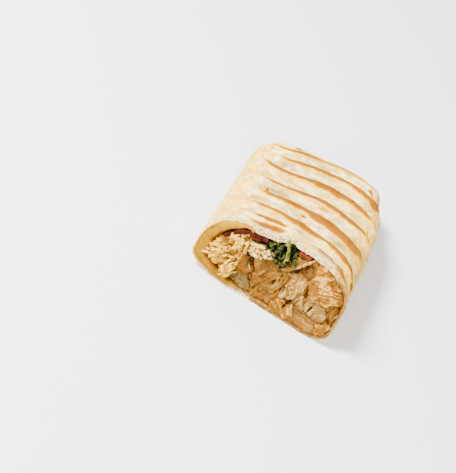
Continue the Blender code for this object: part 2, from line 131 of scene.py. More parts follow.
# What each piece looks like: tone, direction of the fibres in degrees, depth of the fibres and of the lumps.
LOOKS = {
    "chicken_shred_left": ("shred", 20, 0.5, 1.3),
    "chicken_shred_low": ("shred", 50, 0.5, 1.2),
    "chicken_shred_upper": ("shred", 70, 0.6, 1.1),
    "chicken_white_top": ("white", 15, 0.6, 1.2),
    "chicken_brown_left": ("brown", 80, 0.3, 0.6),
    "chicken_chunk_middle": ("golden", 70, 0.4, 1.1),
    "chicken_slice": ("tan", 35, 0.25, 0.5),
    "chicken_tan_right": ("tan", 70, 0.3, 0.6),
    "chicken_strip_middle": ("pale", 80, 0.35, 0.6),
    "chicken_grey_middle": ("pink", 90, 0.2, 0.5),
    "chicken_low_middle": ("crusted", 120, 0.4, 1.2),
    "chicken_chunk_right": ("crusted", 10, 0.4, 1.0),
    "chicken_pink_right": ("pink", 20, 0.2, 0.5),
    "chicken_sliver_right": ("pale", 70, 0.4, 0.8),
    "chicken_chunk_low": ("tan", 0, 0.25, 0.7),
    "chicken_curl_right": ("crusted", 40, 0.4, 0.9),
    "chicken_bit_right": ("golden", 80, 0.4, 0.9),
}

# Dark gaps between the pieces, sunk in and also painted darker through the height number as painted shade: x,
# z, half length, half width, tilt, depth.
HOLLOWS = (
    (13.9, 31.0, 5.4, 1.5, 51, 4.0),
    (-11.2, 19.2, 3.6, 1.2, 118, 2.6),
    (-16.0, 22.0, 2.2, 0.9, 143, 2.2),
    (3.4, 16.6, 2.0, 0.5, 70, 1.4),
    (6.0, 20.5, 2.4, 0.5, 95, 1.2),
    (15.6, 11.0, 3.0, 0.9, 75, 2.2),
    (14.0, 16.4, 1.4, 0.5, 90, 1.4),
    (21.8, 21.5, 3.4, 0.6, 112, 1.8),
    (36.0, 34.4, 2.6, 0.8, 150, 2.0),
    (27.6, 15.2, 3.0, 0.5, 75, 1.4),
    (-21.5, 11.4, 2.0, 0.6, 60, 1.6),
    (-25.0, 20.4, 2.6, 0.6, 30, 1.6),
)


# ---------------------------------------------------------------- numbers


def ease(value, low, high):
    share = np.clip((value - low) / (high - low), 0, 1)
    return share * share * (3 - 2 * share)


def window(value, low, high, soft):
    return ease(value, low - soft, low) * (1 - ease(value, high, high + soft))


def turned(u, v, degrees):
    """Coordinates along and across a direction."""
    turn = math.radians(degrees)
    return u * math.cos(turn) + v * math.sin(turn), v * math.cos(turn) - u * math.sin(turn)


def unit(vectors):
    return vectors / (np.linalg.norm(vectors, axis=-1, keepdims=True) + 1e-12)


def lattice(cells, seed):
    """Even random numbers from 0 to 1 at whole-number points."""
    x, y, z = (cells[..., i].astype(np.uint64) for i in range(3))
    mixed = x * np.uint64(0x9E3779B1) ^ y * np.uint64(0x85EBCA77) ^ z * np.uint64(0xC2B2AE3D)
    mixed = (mixed + np.uint64(seed * 7919 + 17)) * np.uint64(0xD6E8FEB86659FD93)
    mixed ^= mixed >> np.uint64(32)
    mixed *= np.uint64(0xD6E8FEB86659FD93)
    mixed ^= mixed >> np.uint64(29)
    return (mixed & np.uint64(0xFFFFFF)).astype(float) / 0xFFFFFF


def rough(points, size, seed=0):
    """Smooth noise from -1 to 1 with bumps of the given size."""
    scaled = points / size + 1000.0
    cell = np.floor(scaled)
    part = scaled - cell
    part = part * part * (3 - 2 * part)
    cell = cell.astype(np.int64)
    total = 0.0
    for i in (0, 1):
        for j in (0, 1):
            for k in (0, 1):
                corner = np.array([i, j, k])
                near = np.abs(1 - corner - part)
                total = total + near[..., 0] * near[..., 1] * near[..., 2] * lattice(cell + corner, seed)
    return 2 * total - 1


def rougher(points, size, seed=0, layers=3):
    """Noise in layers, each half as large and half as strong."""
    total, strength = 0.0, 1.0
    for layer in range(layers):
        total = total + strength * rough(points, size / 2**layer, seed + layer)
        strength /= 2
    return total / (2 - 2 ** (1 - layers))


# ---------------------------------------------------------------- the shared space


def section(count):
    """(points, inward normals, directions in degrees) of the section's outline, evenly spaced."""
    angle = 2 * math.pi * np.arange(2880) / 2880
    across, up = np.cos(angle), np.sin(angle)
    belly = np.where(across >= 0, BELLY_RIGHT, BELLY_LEFT)
    power = np.where(up >= 0, TOP_POWER, np.where(across >= 0, LOW_POWER_RIGHT, LOW_POWER_LEFT))
    rise = np.abs(up) ** (2 / power)
    z = np.where(up >= 0, belly + (HEIGHT - belly) * rise, belly * (1 - rise))
    x = HALF * np.sign(across) * np.abs(across) ** (2 / power)
    fine = np.stack([x, np.maximum(0, z - FLAT_TRIM)], 1)
    steps = np.linalg.norm(np.roll(fine, -1, 0) - fine, axis=1)
    along = np.concatenate([[0], np.cumsum(steps)])
    closed = np.vstack([fine, fine[:1]])

    def at(distances):
        wrapped = np.mod(distances, along[-1])
        return np.stack([np.interp(wrapped, along, closed[:, i]) for i in (0, 1)], 1)

    places = np.arange(count) * along[-1] / count
    reach = 2.5 * MM
    tangent = at(places + reach) - at(places - reach)
    tangent /= np.linalg.norm(tangent, axis=1)[:, None]
    points = at(places)
    return points, np.stack([-tangent[:, 1], tangent[:, 0]], 1), direction(points[:, 0], points[:, 1])


def direction(x, z):
    return np.degrees(np.arctan2(z - SECTION_MIDDLE, x)) % 360


def place(x, z, station, forward=0.0):
    """Points of the real shape, for points of the section at a station."""
    x, z, station, forward = np.broadcast_arrays(*(np.asarray(v, float) for v in (x, z, station, forward)))
    cut = CUT_Y + CUT_LEAN * z + CUT_SKEW * x
    shoulder = SHOULDER_Y + END_SKEW * x
    body = np.minimum(station, 1.0)
    squarer = SHOULDER_RAISE * np.abs(x / HALF) ** 3 * ease(z / HEIGHT, 0.2, 0.8)
    soon = SHOULDER_SOON * (1 + 2.2 * ease(x, 0, HALF))
    z = z + squarer * (1 - np.exp(-body / soon)) * (1 - ease(station, 0.65, 1.12))
    wide = 1 - (LEFT_TAPER + (RIGHT_TAPER - LEFT_TAPER) * (0.5 + x / WIDTH)) * body**3
    tall = 1 - (1 - END_HEIGHT_SHARE) * np.maximum(body, 0) ** 1.2
    y = cut + (shoulder - cut) * body - forward
    t = np.clip(station - 1, 0, 0.99999)
    y = y + END_ROUND * t
    wide = wide * (1 - t**END_WIDE_POWER) ** (1 / END_WIDE_POWER)
    tall = tall * (1 - t**END_TALL_POWER) ** (1 / END_TALL_POWER)
    return settle(x * wide + MIDDLE_X, y + MIDDLE_Y, z * tall + END_LIFT * t**3)


def settle(x, y, z):
    """The half's own unevenness: it fades to nothing at the ground."""
    share = z / HEIGHT
    cut_top = CUT_Y + CUT_LEAN * HEIGHT
    crest = sum(rise * MM * np.exp(-(((x - at * MM) / (wide * MM)) ** 2)) for at, wide, rise in CRESTS)
    crest = crest * np.exp(-(((y - cut_top) / CREST_LONG) ** 2))
    broad = np.sin(x / (9.5 * MM) + 1.2) * np.cos(y / (13 * MM) + 0.6)
    lumps = LUMP * (broad + 0.6 * np.sin(x / (6.2 * MM) + y / (9 * MM)))
    sway = SWAY * np.sin(y / (19 * MM) + 0.5)
    return np.stack([x + sway * share, y, z + crest * share**2 + lumps * share], -1)


BODY_TOP = SHOULDER_Y - (CUT_Y + CUT_LEAN * HEIGHT)  # the roll's length along its top


def station_at(top_distance):
    top_distance = np.asarray(top_distance, float)
    return np.where(
        top_distance <= BODY_TOP, top_distance / BODY_TOP, 1 + (top_distance - BODY_TOP) / END_ROUND
    )


def bent(x, top_distance):
    """Distances along the top, moved as the grill marks are bent there."""
    marks = [0, *(MARK_FIRST + i * MARK_PITCH for i in range(MARK_COUNT + 1))]
    rows = [np.zeros_like(x)]
    for row in BENDS:
        rows.append(np.mean([np.interp(x / MM + off, MARK_X, row) for off in (-4, -2, 0, 2, 4)], 0) * MM)
    rows.append(np.zeros_like(x))
    k = min(len(marks) - 2, max(0, int(np.searchsorted(marks, top_distance) - 1)))
    share = np.clip((top_distance - marks[k]) / (marks[k + 1] - marks[k]), 0, 1)
    return top_distance + rows[k] * (1 - share) + rows[k + 1] * share


def wall_at(where):
    doubled = np.maximum(window(where, 88, 130, 7), window(where, 228, 298, 6))
    return WALL + (DOUBLE_WALL - WALL) * doubled


def lining_share(lining, where):
    first, last, _, thin = lining
    bulge = np.sin(math.pi * np.clip((where - first) / (last - first), 0, 1)) ** 0.7
    return np.where((where >= first) & (where <= last), thin + (1 - thin) * bulge, 0)


def behind_cheese(where):
    cheese = CHEESE[2] * np.maximum(CHEESE[3], lining_share(CHEESE, where)) + GAP
    return wall_at(where) + GAP + cheese * ease(where, CHEESE[0] - 7, CHEESE[0]) * (
        1 - ease(where, CHEESE[1], CHEESE[1] + 7)
    )


def cavity_depth(where):
    soft = 4
    bacon = (BACON_LEFT[2] + GAP) * window(where, BACON_LEFT[0], BACON_LEFT[1], soft)
    bacon_right = BACON_RIGHT[2] * window(where, BACON_RIGHT[0], BACON_RIGHT[1], soft)
    leaf = (UNDER_LEAF[2] + 2 * GAP) * window(where, UNDER_LEAF[0], UNDER_LEAF[1], soft)
    lettuce = LETTUCE[2] * window(where, LETTUCE[0], LETTUCE[1], soft)
    return behind_cheese(where) + GAP + np.maximum(bacon + leaf, np.maximum(bacon_right, lettuce))


def cavity(count):
    points, inward, wheres = section(count)
    return points + inward * cavity_depth(wheres)[:, None]


def sunk(x, z):
    """How deep the gaps between the pieces go at points of the section."""
    deep = np.zeros_like(x)
    wobble = 0.35 * rough(np.stack([x, 0 * x, z], -1), 1.6 * MM, 77)
    for at, up, long, broad, tilt, depth in HOLLOWS:
        u, v = turned(x / MM - at, z / MM - up, tilt)
        away = np.hypot(u / long, v / broad) + wobble
        deep = np.maximum(deep, depth * MM * (1 - ease(away, 0.45, 1.5)))
    return deep


# ---------------------------------------------------------------- meshes


def linked(name, data):
    """A new object in the scene."""
    obj = bpy.data.objects.new(name, data)
    bpy.context.scene.collection.objects.link(obj)
    return obj


def new_object(name, points, faces, paint, values=None):
    """A smooth mesh object at the origin, with a number on every point for each entry of values."""
    data = bpy.data.meshes.new(name)
    data.from_pydata([tuple(p) for p in np.asarray(points).reshape(-1, 3)], [], faces)
    for key, numbers in (values or {}).items():
        made = data.attributes.new(key, "FLOAT", "POINT")
        flat = np.asarray(numbers, float).ravel()
        made.data.foreach_set("value", np.ascontiguousarray(flat, dtype=np.float32))
    data.update()
    data.shade_smooth()
    data.materials.append(paint)
    return linked(name, data)


def outward(obj):
    """Turn every face outwards, and close what lies double."""
    mesh = bmesh.new()
    mesh.from_mesh(obj.data)
    bmesh.ops.remove_doubles(mesh, verts=mesh.verts, dist=1e-6)
    bmesh.ops.recalc_face_normals(mesh, faces=mesh.faces)
    mesh.to_mesh(obj.data)
    mesh.free()
    return obj


def ring_faces(rows, count, first=0):
    """Quads between rings of count points each."""
    r, c = np.meshgrid(np.arange(rows - 1), np.arange(count), indexing="ij")
    a = first + r * count + c
    b = first + r * count + (c + 1) % count
    return np.stack([a, b, b + count, a + count], -1).reshape(-1, 4).tolist()


def fan_faces(start, count, middle):
    return [(start + i, start + (i + 1) % count, middle) for i in range(count)]


def grid_normals(grid):
    """Unit normals of a grid of rings, from its neighbours."""
    around = np.roll(grid, -1, 1) - np.roll(grid, 1, 1)
    along = np.gradient(grid, axis=0)
    return unit(np.cross(around, along))


def closed_rings(name, grid, paint, values=None, fan=True):
    """A closed piece through rings. values holds one number for each ring point; the fans take the mean."""
    rows, count = grid.shape[:2]
    points = grid.reshape(-1, 3)
    faces = ring_faces(rows, count)
    numbers = {key: np.asarray(v, float).reshape(-1) for key, v in (values or {}).items()}
    if fan:
        points = np.vstack([points, grid[0].mean(0), grid[-1].mean(0)])
        numbers = {
            key: np.concatenate([v, [v[:count].mean(), v[-count:].mean()]]) for key, v in numbers.items()
        }
        faces += fan_faces(0, count, rows * count) + fan_faces((rows - 1) * count, count, rows * count + 1)
    else:
        for start in (0, (rows - 1) * count):
            faces += [
                (start + i, start + i + 1, start + count - 2 - i, start + count - 1 - i)
                for i in range(count // 2 - 1)
            ]
    return outward(new_object(name, points, faces, paint, numbers))


def merged(objects, name):
    """One new object from several, with their numbers kept."""
    points, faces = [], []
    keys = [a.name for a in objects[0].data.attributes if a.data_type == "FLOAT" and a.domain == "POINT"]
    values = {key: [] for key in keys}
    for obj in objects:
        start = len(points)
        points += [tuple(v.co) for v in obj.data.vertices]
        faces += [tuple(start + i for i in f.vertices) for f in obj.data.polygons]
        for key in keys:
            values[key] += [d.value for d in obj.data.attributes[key].data]
    return new_object(name, points, faces, objects[0].data.materials[0], values)


def removed(objects):
    for obj in objects:
        data = obj.data
        bpy.data.objects.remove(obj)
        bpy.data.meshes.remove(data)


def join(objects, name):
    """One object in place of several."""
    made = merged(objects, name)
    removed(objects)
    return made


def softened(places, steps, path, offsets):
    """Points at places along a path, each the mean of its surroundings, so that the corners are round."""
    return np.mean([[np.interp(places + off, steps, part) for part in path.T] for off in offsets], 0).T


# ---------------------------------------------------------------- materials


def shade(red, green, blue):
    """A colour named in display values from 0 to 255."""
    parts = (value / 255 for value in (red, green, blue))
    return tuple(part / 12.92 if part <= 10 / 255 else ((part + 0.055) / 1.055) ** 2.4 for part in parts)


class Value:
    """A socket that can be added, multiplied and so on."""

    def __init__(self, paint, socket):
        self.paint, self.socket = paint, socket

    def maths(self, operation, *others):
        return self.paint.node("ShaderNodeMath", dict(enumerate((self, *others))), operation=operation)

    def __add__(self, other):
        return self.maths("ADD", other)

    __radd__ = __add__

    def __mul__(self, other):
        return self.maths("MULTIPLY", other)

    __rmul__ = __mul__

    def __sub__(self, other):
        return self.maths("SUBTRACT", other)

    def __rsub__(self, other):
        return self.paint.node("ShaderNodeMath", {0: other, 1: self}, operation="SUBTRACT")

    def between(self, low, high):
        """0 below low, 1 above high, smooth between."""
        return self.paint.node(
            "ShaderNodeMapRange",
            {"Value": self, "From Min": low, "From Max": high},
            interpolation_type="SMOOTHSTEP",
        )


class Paint:
    """A material, and one way to add nodes to it."""

    def __init__(self, name, roughness=0.6, **fixed):
        self.material = bpy.data.materials.new(name)
        self.material.use_nodes = True
        self.tree = self.material.node_tree
        self.shader = self.tree.nodes["Principled BSDF"]
        self.shader.inputs["Roughness"].default_value = roughness
        for key, number in fixed.items():
            self.shader.inputs[key.replace("_", " ")].default_value = number
        self.place = self.node("ShaderNodeTexCoord", out="Object")

    def node(self, kind, sockets=None, out=0, stops=None, **settings):
        made = self.tree.nodes.new(kind)
        for key, setting in settings.items():
            setattr(made, key, setting)
        if stops:
            ramp = made.color_ramp
            while len(ramp.elements) < len(stops):
                ramp.elements.new(0.5)
            for element, (at, colour) in zip(ramp.elements, stops):
                element.position = at
                element.color = (*colour, 1)
        for key, value in (sockets or {}).items():
            socket = made.inputs[key]
            if isinstance(value, Value):
                self.tree.links.new(value.socket, socket)
            elif isinstance(value, tuple) and len(value) == 3 and socket.type == "RGBA":
                socket.default_value = (*value, 1)
            else:
                socket.default_value = value
        return Value(self, made.outputs[out])

    def noise(self, size, detail=2.0, roughness=0.5, stretch=None, turn=None, offset=0.0):
        """Noise with features of the given size, in metres, as a number round 0.5."""
        spot = self.place
        if stretch or turn or offset:
            spot = self.node(
                "ShaderNodeMapping",
                {
                    "Vector": self.place,
                    "Location": (offset, offset, offset),
                    "Rotation": turn or (0, 0, 0),
                    "Scale": stretch or (1, 1, 1),
                },
            )
        return self.node(
            "ShaderNodeTexNoise",
            {"Vector": spot, "Scale": 1 / size, "Detail": detail, "Roughness": roughness},
            noise_dimensions="3D",
        )

    def number(self, name):
        """A number kept on the mesh."""
        return self.node("ShaderNodeAttribute", out="Fac", attribute_name=name)

    def mix(self, share, first, second):
        return self.node("ShaderNodeMix", {0: share, 6: first, 7: second}, out=2, data_type="RGBA")

    def bump(self, height, distance, strength=1.0, under=None):
        sockets = {"Height": height, "Distance": distance, "Strength": strength}
        if under is not None:
            sockets["Normal"] = under
        return self.node("ShaderNodeBump", sockets)

    def finish(self, **links):
        for key, value in links.items():
            self.tree.links.new(value.socket, self.shader.inputs[key.replace("_", " ")])
        return self.material


def tortilla_paint():
    p = Paint("toasted tortilla", roughness=0.75, Specular_IOR_Level=0.02)
    grill, glow, rim, sauce_stain_and_shade = (p.number(n) for n in ("grill", "glow", "rim", "sauce_stain_and_shade"))
    bright, base, cream = shade(255, 242, 176), shade(255, 220, 132), shade(226, 180, 88)
    tan, damp, grey = shade(160, 120, 46), shade(140, 124, 74), shade(196, 176, 120)
    long, fine = (0.6, 1, 1), p.noise(0.9 * MM, 3, 0.65, offset=5.0)
    flour = p.mix(p.noise(5 * MM, 2, 0.55, stretch=long).between(0.4, 0.6), cream, base)
    flour = p.mix(p.noise(3.2 * MM, 2, 0.6, offset=3.0).between(0.5, 0.68) * 0.6, flour, grey)
    flour = p.mix(p.noise(4.4 * MM, 3, 0.6, offset=7.0).between(0.48, 0.64), flour, bright)
    flour = p.mix(p.noise(9 * MM, 2, 0.6, offset=8.0).between(0.5, 0.66) * 0.5, flour, damp)
    flour = p.mix(fine.between(0.54, 0.72) * 0.25, flour, tan)
    blotch = p.noise(2.4 * MM, 3, 0.7, offset=9.0)
    thin = p.mix(fine.between(0.42, 0.62), damp, tan)
    flour = p.mix(p.number("darker_patches") * blotch.between(0.25, 0.55), flour, thin)
    streaks = p.noise(2.6 * MM, 3, 0.65, stretch=(1, 0.35, 1), offset=27.0)
    wall = p.mix(streaks.between(0.42, 0.6), shade(208, 158, 64), shade(246, 204, 104))
    wall = p.mix(p.noise(7 * MM, 2, 0.6, offset=29.0).between(0.5, 0.66) * 0.6, wall, shade(255, 226, 140))
    wall = p.mix(p.noise(5 * MM, 3, 0.6, offset=41.0).between(0.56, 0.7) * 0.7, wall, shade(196, 136, 34))
    flour = p.mix(p.number("side") * 0.85, flour, wall)
    uneven = p.noise(2.6 * MM, 3, 0.65, stretch=long, offset=1.0)
    flour = p.mix(glow * uneven.between(0.3, 0.6) * 0.85, flour, shade(236, 180, 34))
    press = grill * (0.66 + 0.68 * uneven) + (fine - 0.5) * 0.5 * grill
    colour = p.mix(press.between(0.02, 0.16), flour, shade(232, 172, 16))
    colour = p.mix(press.between(0.12, 0.56), colour, shade(140, 84, 0))
    colour = p.mix(press.between(0.78, 1.12), colour, shade(116, 66, 0))
    char = p.noise(1.3 * MM, 2, 0.5, offset=11.0).between(0.66, 0.76) * press.between(0.5, 0.9)
    colour = p.mix(char * 0.5, colour, shade(96, 52, 8))
    colour = p.mix(p.number("char"), colour, shade(62, 38, 18))
    specks = p.noise(1.4 * MM, 2, 0.5, offset=13.0).between(0.73, 0.79)
    patchy = p.noise(9 * MM, 1, offset=15.0).between(0.45, 0.6)
    colour = p.mix(specks * patchy * 0.6, colour, shade(110, 84, 44))
    juicy = 0.5 + 0.5 * p.noise(2.4 * MM, 3, offset=17.0).between(0.35, 0.65)
    colour = p.mix(p.number("sauce") * juicy, colour, shade(150, 90, 4))
    crumb = p.noise(0.8 * MM, 3, 0.7, offset=19.0).between(0.35, 0.65)
    colour = p.mix(rim, colour, p.mix(crumb, shade(255, 236, 164), shade(160, 118, 62)))
    # Greasy brown: a sauce stain on the lower right, a painted shade on the lower left under the outer layer,
    # and darker all over the inside.
    soaked = p.noise(2 * MM, 3, 0.6, offset=23.0).between(0.35, 0.65)
    greasy_and_shaded = p.mix(soaked, shade(150, 96, 24), shade(84, 50, 14))
    colour = p.mix(sauce_stain_and_shade, colour, greasy_and_shaded)
    colour = p.mix(p.number("cheesy"), colour, p.mix(crumb, shade(154, 106, 0), shade(184, 130, 0)))
    skin = p.bump(p.noise(0.6 * MM, 4, 0.7, offset=31.0), 0.2 * MM, 0.8)
    skin = p.bump(p.noise(1.8 * MM, 3, 0.65, offset=37.0), 0.7 * MM, 0.8, under=skin)
    return p.finish(Base_Color=colour, Roughness=0.8 - 0.25 * press - 0.2 * sauce_stain_and_shade, Normal=skin)


def cheese_paint():
    p = Paint("melted cheese", roughness=0.4, Specular_IOR_Level=0.0, Coat_Roughness=0.15)
    depth = p.number("layer") + (p.noise(3 * MM, 3, 0.6) - 0.5) * 0.5
    patches = p.noise(3 * MM, 3, 0.6, offset=1.0).between(0.35, 0.65)
    colour = p.mix(patches, shade(126, 84, 0), shade(152, 106, 0))
    # The pale number: a painted highlight on the upper end of the cheese.
    colour = p.mix(p.number("pale"), colour, shade(170, 120, 0))
    colour = p.mix(depth.between(0.6, 0.95), colour, shade(98, 56, 6))
    lumps = p.bump(p.noise(1.5 * MM, 3, 0.5, offset=4.0), 0.5 * MM, 0.6)
    wet = p.noise(2.4 * MM, 2, offset=6.0).between(0.6, 0.72) * 0.6
    return p.finish(Base_Color=colour, Coat_Weight=wet, Normal=lumps)


def bacon_paint(name, lean, fat):
    p = Paint(name, roughness=0.4, Specular_IOR_Level=0.05, Coat_Roughness=0.2)
    layer = p.number("layer") + (p.noise(2 * MM, 3, 0.6) - 0.5) * 0.6
    dark = tuple(0.4 * part for part in lean)
    stops = ((0.0, dark), (0.3, lean), (0.55, dark), (0.75, fat), (1.0, dark))
    colour = p.node("ShaderNodeValToRGB", {"Fac": layer}, stops=stops)
    colour = p.mix(p.noise(0.8 * MM, 3, 0.6, offset=3.0).between(0.5, 0.7) * 0.6, colour, dark)
    meat = p.bump(p.noise(0.7 * MM, 3, 0.6, offset=5.0), 0.3 * MM, 0.7)
    wet = p.noise(1.2 * MM, 2, offset=7.0).between(0.62, 0.74) * 0.15
    return p.finish(Base_Color=colour, Coat_Weight=wet, Normal=meat)


def lettuce_paint():
    p = Paint("lettuce", roughness=0.4, Specular_IOR_Level=0.05, Coat_Roughness=0.12)
    vein = p.noise(2.4 * MM, 3, 0.55).between(0.38, 0.68)
    colour = p.mix(vein, shade(18, 18, 7), shade(50, 48, 17))
    fringe = p.number("edge") * p.noise(1.6 * MM, 2, offset=2.0).between(0.42, 0.6)
    colour = p.mix(fringe * 0.8, colour, shade(76, 82, 26))
    # The pale number lightens one folded leaf: a painted highlight.
    colour = p.mix(p.number("pale"), colour, shade(124, 122, 40))
    wrinkle = p.bump(p.noise(0.9 * MM, 3, 0.6, offset=3.0), 0.4 * MM, 0.7)
    wet = p.noise(1.5 * MM, 2, offset=5.0).between(0.54, 0.68) * 0.7
    return p.finish(Base_Color=colour, Coat_Weight=wet, Normal=wrinkle)


def onion_paint():
    p = Paint("soft onion", roughness=0.4, Specular_IOR_Level=0.05, Coat_Roughness=0.15)
    bands = p.noise(1.3 * MM, 2, 0.5, stretch=(0.5, 1, 1.6), turn=(0, 0.3, 0)).between(0.35, 0.65)
    colour = p.mix(bands, shade(80, 58, 24), shade(112, 88, 36))
    # Paler on the high places, through the height number: a painted highlight.
    colour = p.mix(p.number("height").between(0.55, 1.0) * 0.6, colour, shade(150, 126, 50))
    return p.finish(
        Base_Color=colour,
        Coat_Weight=p.noise(1.5 * MM, 2, offset=5.0).between(0.58, 0.68) * 0.7,
        Normal=p.bump(bands, 0.3 * MM, 0.5),
    )


# Tones of the chicken: hollows, a painted shade for the low places; flesh; ridges, a painted highlight for
# the high places, partly the meat's own paler flesh; sauce; and how much of the face the sauce covers.
TONES = {
    "shred": ((66, 36, 6), (118, 74, 6), (236, 184, 52), (136, 80, 0), 0.5),
    "white": ((60, 34, 14), (112, 74, 26), (238, 200, 110), (98, 62, 12), 0.3),
    "brown": ((44, 28, 12), (88, 58, 20), (168, 124, 46), (80, 52, 14), 0.5),
    "golden": ((44, 24, 8), (94, 60, 12), (146, 106, 38), (130, 76, 0), 0.65),
    "tan": ((66, 40, 16), (120, 80, 28), (156, 116, 46), (118, 70, 12), 0.4),
    "pale": ((84, 54, 20), (118, 80, 30), (180, 138, 64), (118, 74, 12), 0.3),
    "pink": ((70, 44, 18), (132, 94, 42), (190, 148, 80), (122, 80, 20), 0.2),
    "crusted": ((58, 33, 6), (128, 80, 8), (212, 157, 50), (142, 80, 0), 0.5),
}


def chicken_paint(tone, seed):
    hollow_shade, flesh, ridge_highlight, sauce, share = TONES[tone]
    p = Paint(f"chicken {tone}", roughness=0.5, Specular_IOR_Level=0.04, Coat_Roughness=0.2)
    # The height number paints light on the face: the hollow tone is painted shade in the low places, the
    # ridge tone a painted highlight on the high ones.
    height = p.number("height") + (p.noise(1.6 * MM, 3, 0.6, offset=seed) - 0.5) * 0.4
    colour = p.mix(height.between(0.12, 0.48), shade(*hollow_shade), shade(*flesh))
    colour = p.mix(height.between(0.58, 0.88), colour, shade(*ridge_highlight))
    sauced = p.noise(4 * MM, 3, 0.6, offset=3.0).between(0.66 - 0.3 * share, 0.84 - 0.3 * share)
    colour = p.mix(sauced * 0.85, colour, shade(*sauce))
    seared = p.noise(1.8 * MM, 3, 0.6, offset=5.0).between(0.6, 0.72)
    colour = p.mix(seared * 0.6, colour, shade(72, 38, 14))
    specks = p.noise(0.8 * MM, 1, 0.5, offset=7.0).between(0.74, 0.79)
    colour = p.mix(specks * 0.7, colour, shade(40, 22, 12))
    moist = p.noise(1.6 * MM, 2, offset=9.0).between(0.62, 0.72) * 0.45
    grain = p.bump(p.noise(0.5 * MM, 3, 0.7, offset=11.0), 0.2 * MM, 0.7)
    return p.finish(Base_Color=colour, Coat_Weight=moist, Normal=grain)


def crumb_paint(name, first, second, size=1.2 * MM):
    p = Paint(name, roughness=0.7, Specular_IOR_Level=0.05)
    colour = p.mix(p.noise(size, 2, 0.6).between(0.35, 0.65), shade(*first), shade(*second))
    return p.finish(Base_Color=colour, Normal=p.bump(p.noise(0.3 * MM, 2, offset=2.0), 0.1 * MM, 0.5))


# Sauce between the pieces; where it shows in the gaps it also stands in as painted shade.
def dressing_and_gap_shade_paint():
    p = Paint("dressing, juices and painted gap shade", roughness=0.4, Specular_IOR_Level=0.05)
    colour = p.mix(p.noise(2.2 * MM, 3, 0.6).between(0.3, 0.7), shade(112, 60, 8), shade(156, 92, 8))
    return p.finish(Base_Color=colour, Normal=p.bump(p.noise(1.0 * MM, 3, 0.6, offset=2.0), 0.5 * MM, 0.6))


# ---------------------------------------------------------------- the tortilla

RING = 320  # points round the sheet
BODY_RINGS, END_RINGS = 190, 46
RIM_SHARES = (0.04, 0.18, 0.34, 0.5, 0.66, 0.82, 0.96)
LINING_STATIONS = (0.004, 0.02, 0.05, 0.1, 0.2, 0.35, 0.6, 0.85, 1.0, 1.25, 1.45, 1.6)
# Toasted smears beside the marks: x, distance along the top, half length across and along, turn, strength.
SMEARS = (
    (-12.0, 3.2, 10.0, 6.0, 12, 1.0),
    (-12.5, 12.6, 9.5, 1.9, 2, 0.9),
    (-31.0, 12.0, 3.5, 1.0, 0, 0.35),
    (20.0, 4.8, 9.5, 2.6, -12, 0.85),
    (33.0, 2.2, 6.0, 2.2, -10, 0.7),
    (3.0, 22.3, 2.2, 3.4, 0, 0.95),
    (0.5, 31.0, 2.2, 1.3, 0, 0.6),
    (8.0, 46.8, 4.0, 2.0, 0, 0.35),
    (-25.0, 40.8, 1.2, 2.8, 0, 0.8),
    (6.5, 64.0, 0.6, 3.0, 12, 0.3),
    (32.0, 91.3, 2.4, 2.4, 0, 0.75),
    (38.5, 98.4, 2.6, 1.5, 0, 0.6),
    (38.0, 51.5, 5.6, 1.0, 115, 0.45),
    (42.0, 9.3, 1.3, 3.2, 15, 0.6),
    (34.5, 79.5, 4.6, 3.4, 0, 0.9),
)
# Darker places on the sheet: thin ones where the filling darkens it, and a long strip down the right edge of
# the top; and burnt specks.
DARK_PATCHES = (
    (-24.0, 27.0, 8.0, 4.5, 0, 0.7),
    (-21.0, 42.0, 12.0, 5.0, 0, 1.0),
    (-31.0, 57.0, 5.0, 6.0, 0, 0.5),
    (-16.0, 57.5, 7.0, 4.0, 0, 0.4),
    (-25.0, 74.0, 10.0, 5.0, 0, 0.8),
    (-5.0, 89.0, 5.0, 3.0, 0, 0.5),
    (-2.0, 27.0, 6.0, 3.0, 0, 0.35),
    (25.0, 26.0, 9.0, 6.0, 0, 0.8),
    (8.0, 10.0, 6.0, 3.5, 0, 0.4),
    # A long darker strip down the right edge of the top.
    (38.0, 40.0, 9.0, 30.0, 0, 1.0),
    (33.0, 74.0, 7.0, 6.0, 0, 0.7),
    (12.0, 58.0, 6.0, 4.0, 0, 0.3),
)
BURNT = (
    (21.0, 68.9, 1.3, 1.2, 0, 1.0),
    (10.5, 37.8, 3.0, 1.6, 0, 0.45),
    (0.0, 50.8, 1.0, 0.8, 0, 0.6),
    (-20.5, 94.5, 1.6, 1.6, 0, 0.4),
    (-25.0, 40.8, 0.8, 1.8, 0, 0.35),
)


def toasting(x, distance, wander):
    """How strongly the bars toasted the sheet, from 0 to about 1."""
    total = np.zeros_like(distance)
    for number in range(MARK_COUNT):
        half = np.interp(x / MM, MARK_X, MARK_HALVES[number]) * MM
        tone = np.interp(x / MM, MARK_X, MARK_TONES[number])
        away = np.abs(distance - MARK_FIRST - number * MARK_PITCH) + wander
        total = np.maximum(total, tone * (1 - ease(away, 0.55 * half, 1.3 * half + 0.6 * MM)))
    return total


def dabs(table, x, distance, grid):
    """The strongest of a table's spots at each point."""
    total = np.zeros_like(distance)
    for at, along, half_across, half_along, turn, strength in table:
        u, v = turned(x / MM - at, distance / MM - along, turn)
        reach = np.hypot(u / half_across, v / half_along) + 0.3 * rough(grid, 3 * MM, 22)
        total = np.maximum(total, strength * (1 - ease(reach, 0.45, 1.2)))
    return total


def facing_up(where):
    return window(where, 22, 160, 9)


def facing_down(where):
    return window(where, 236, 312, 8)


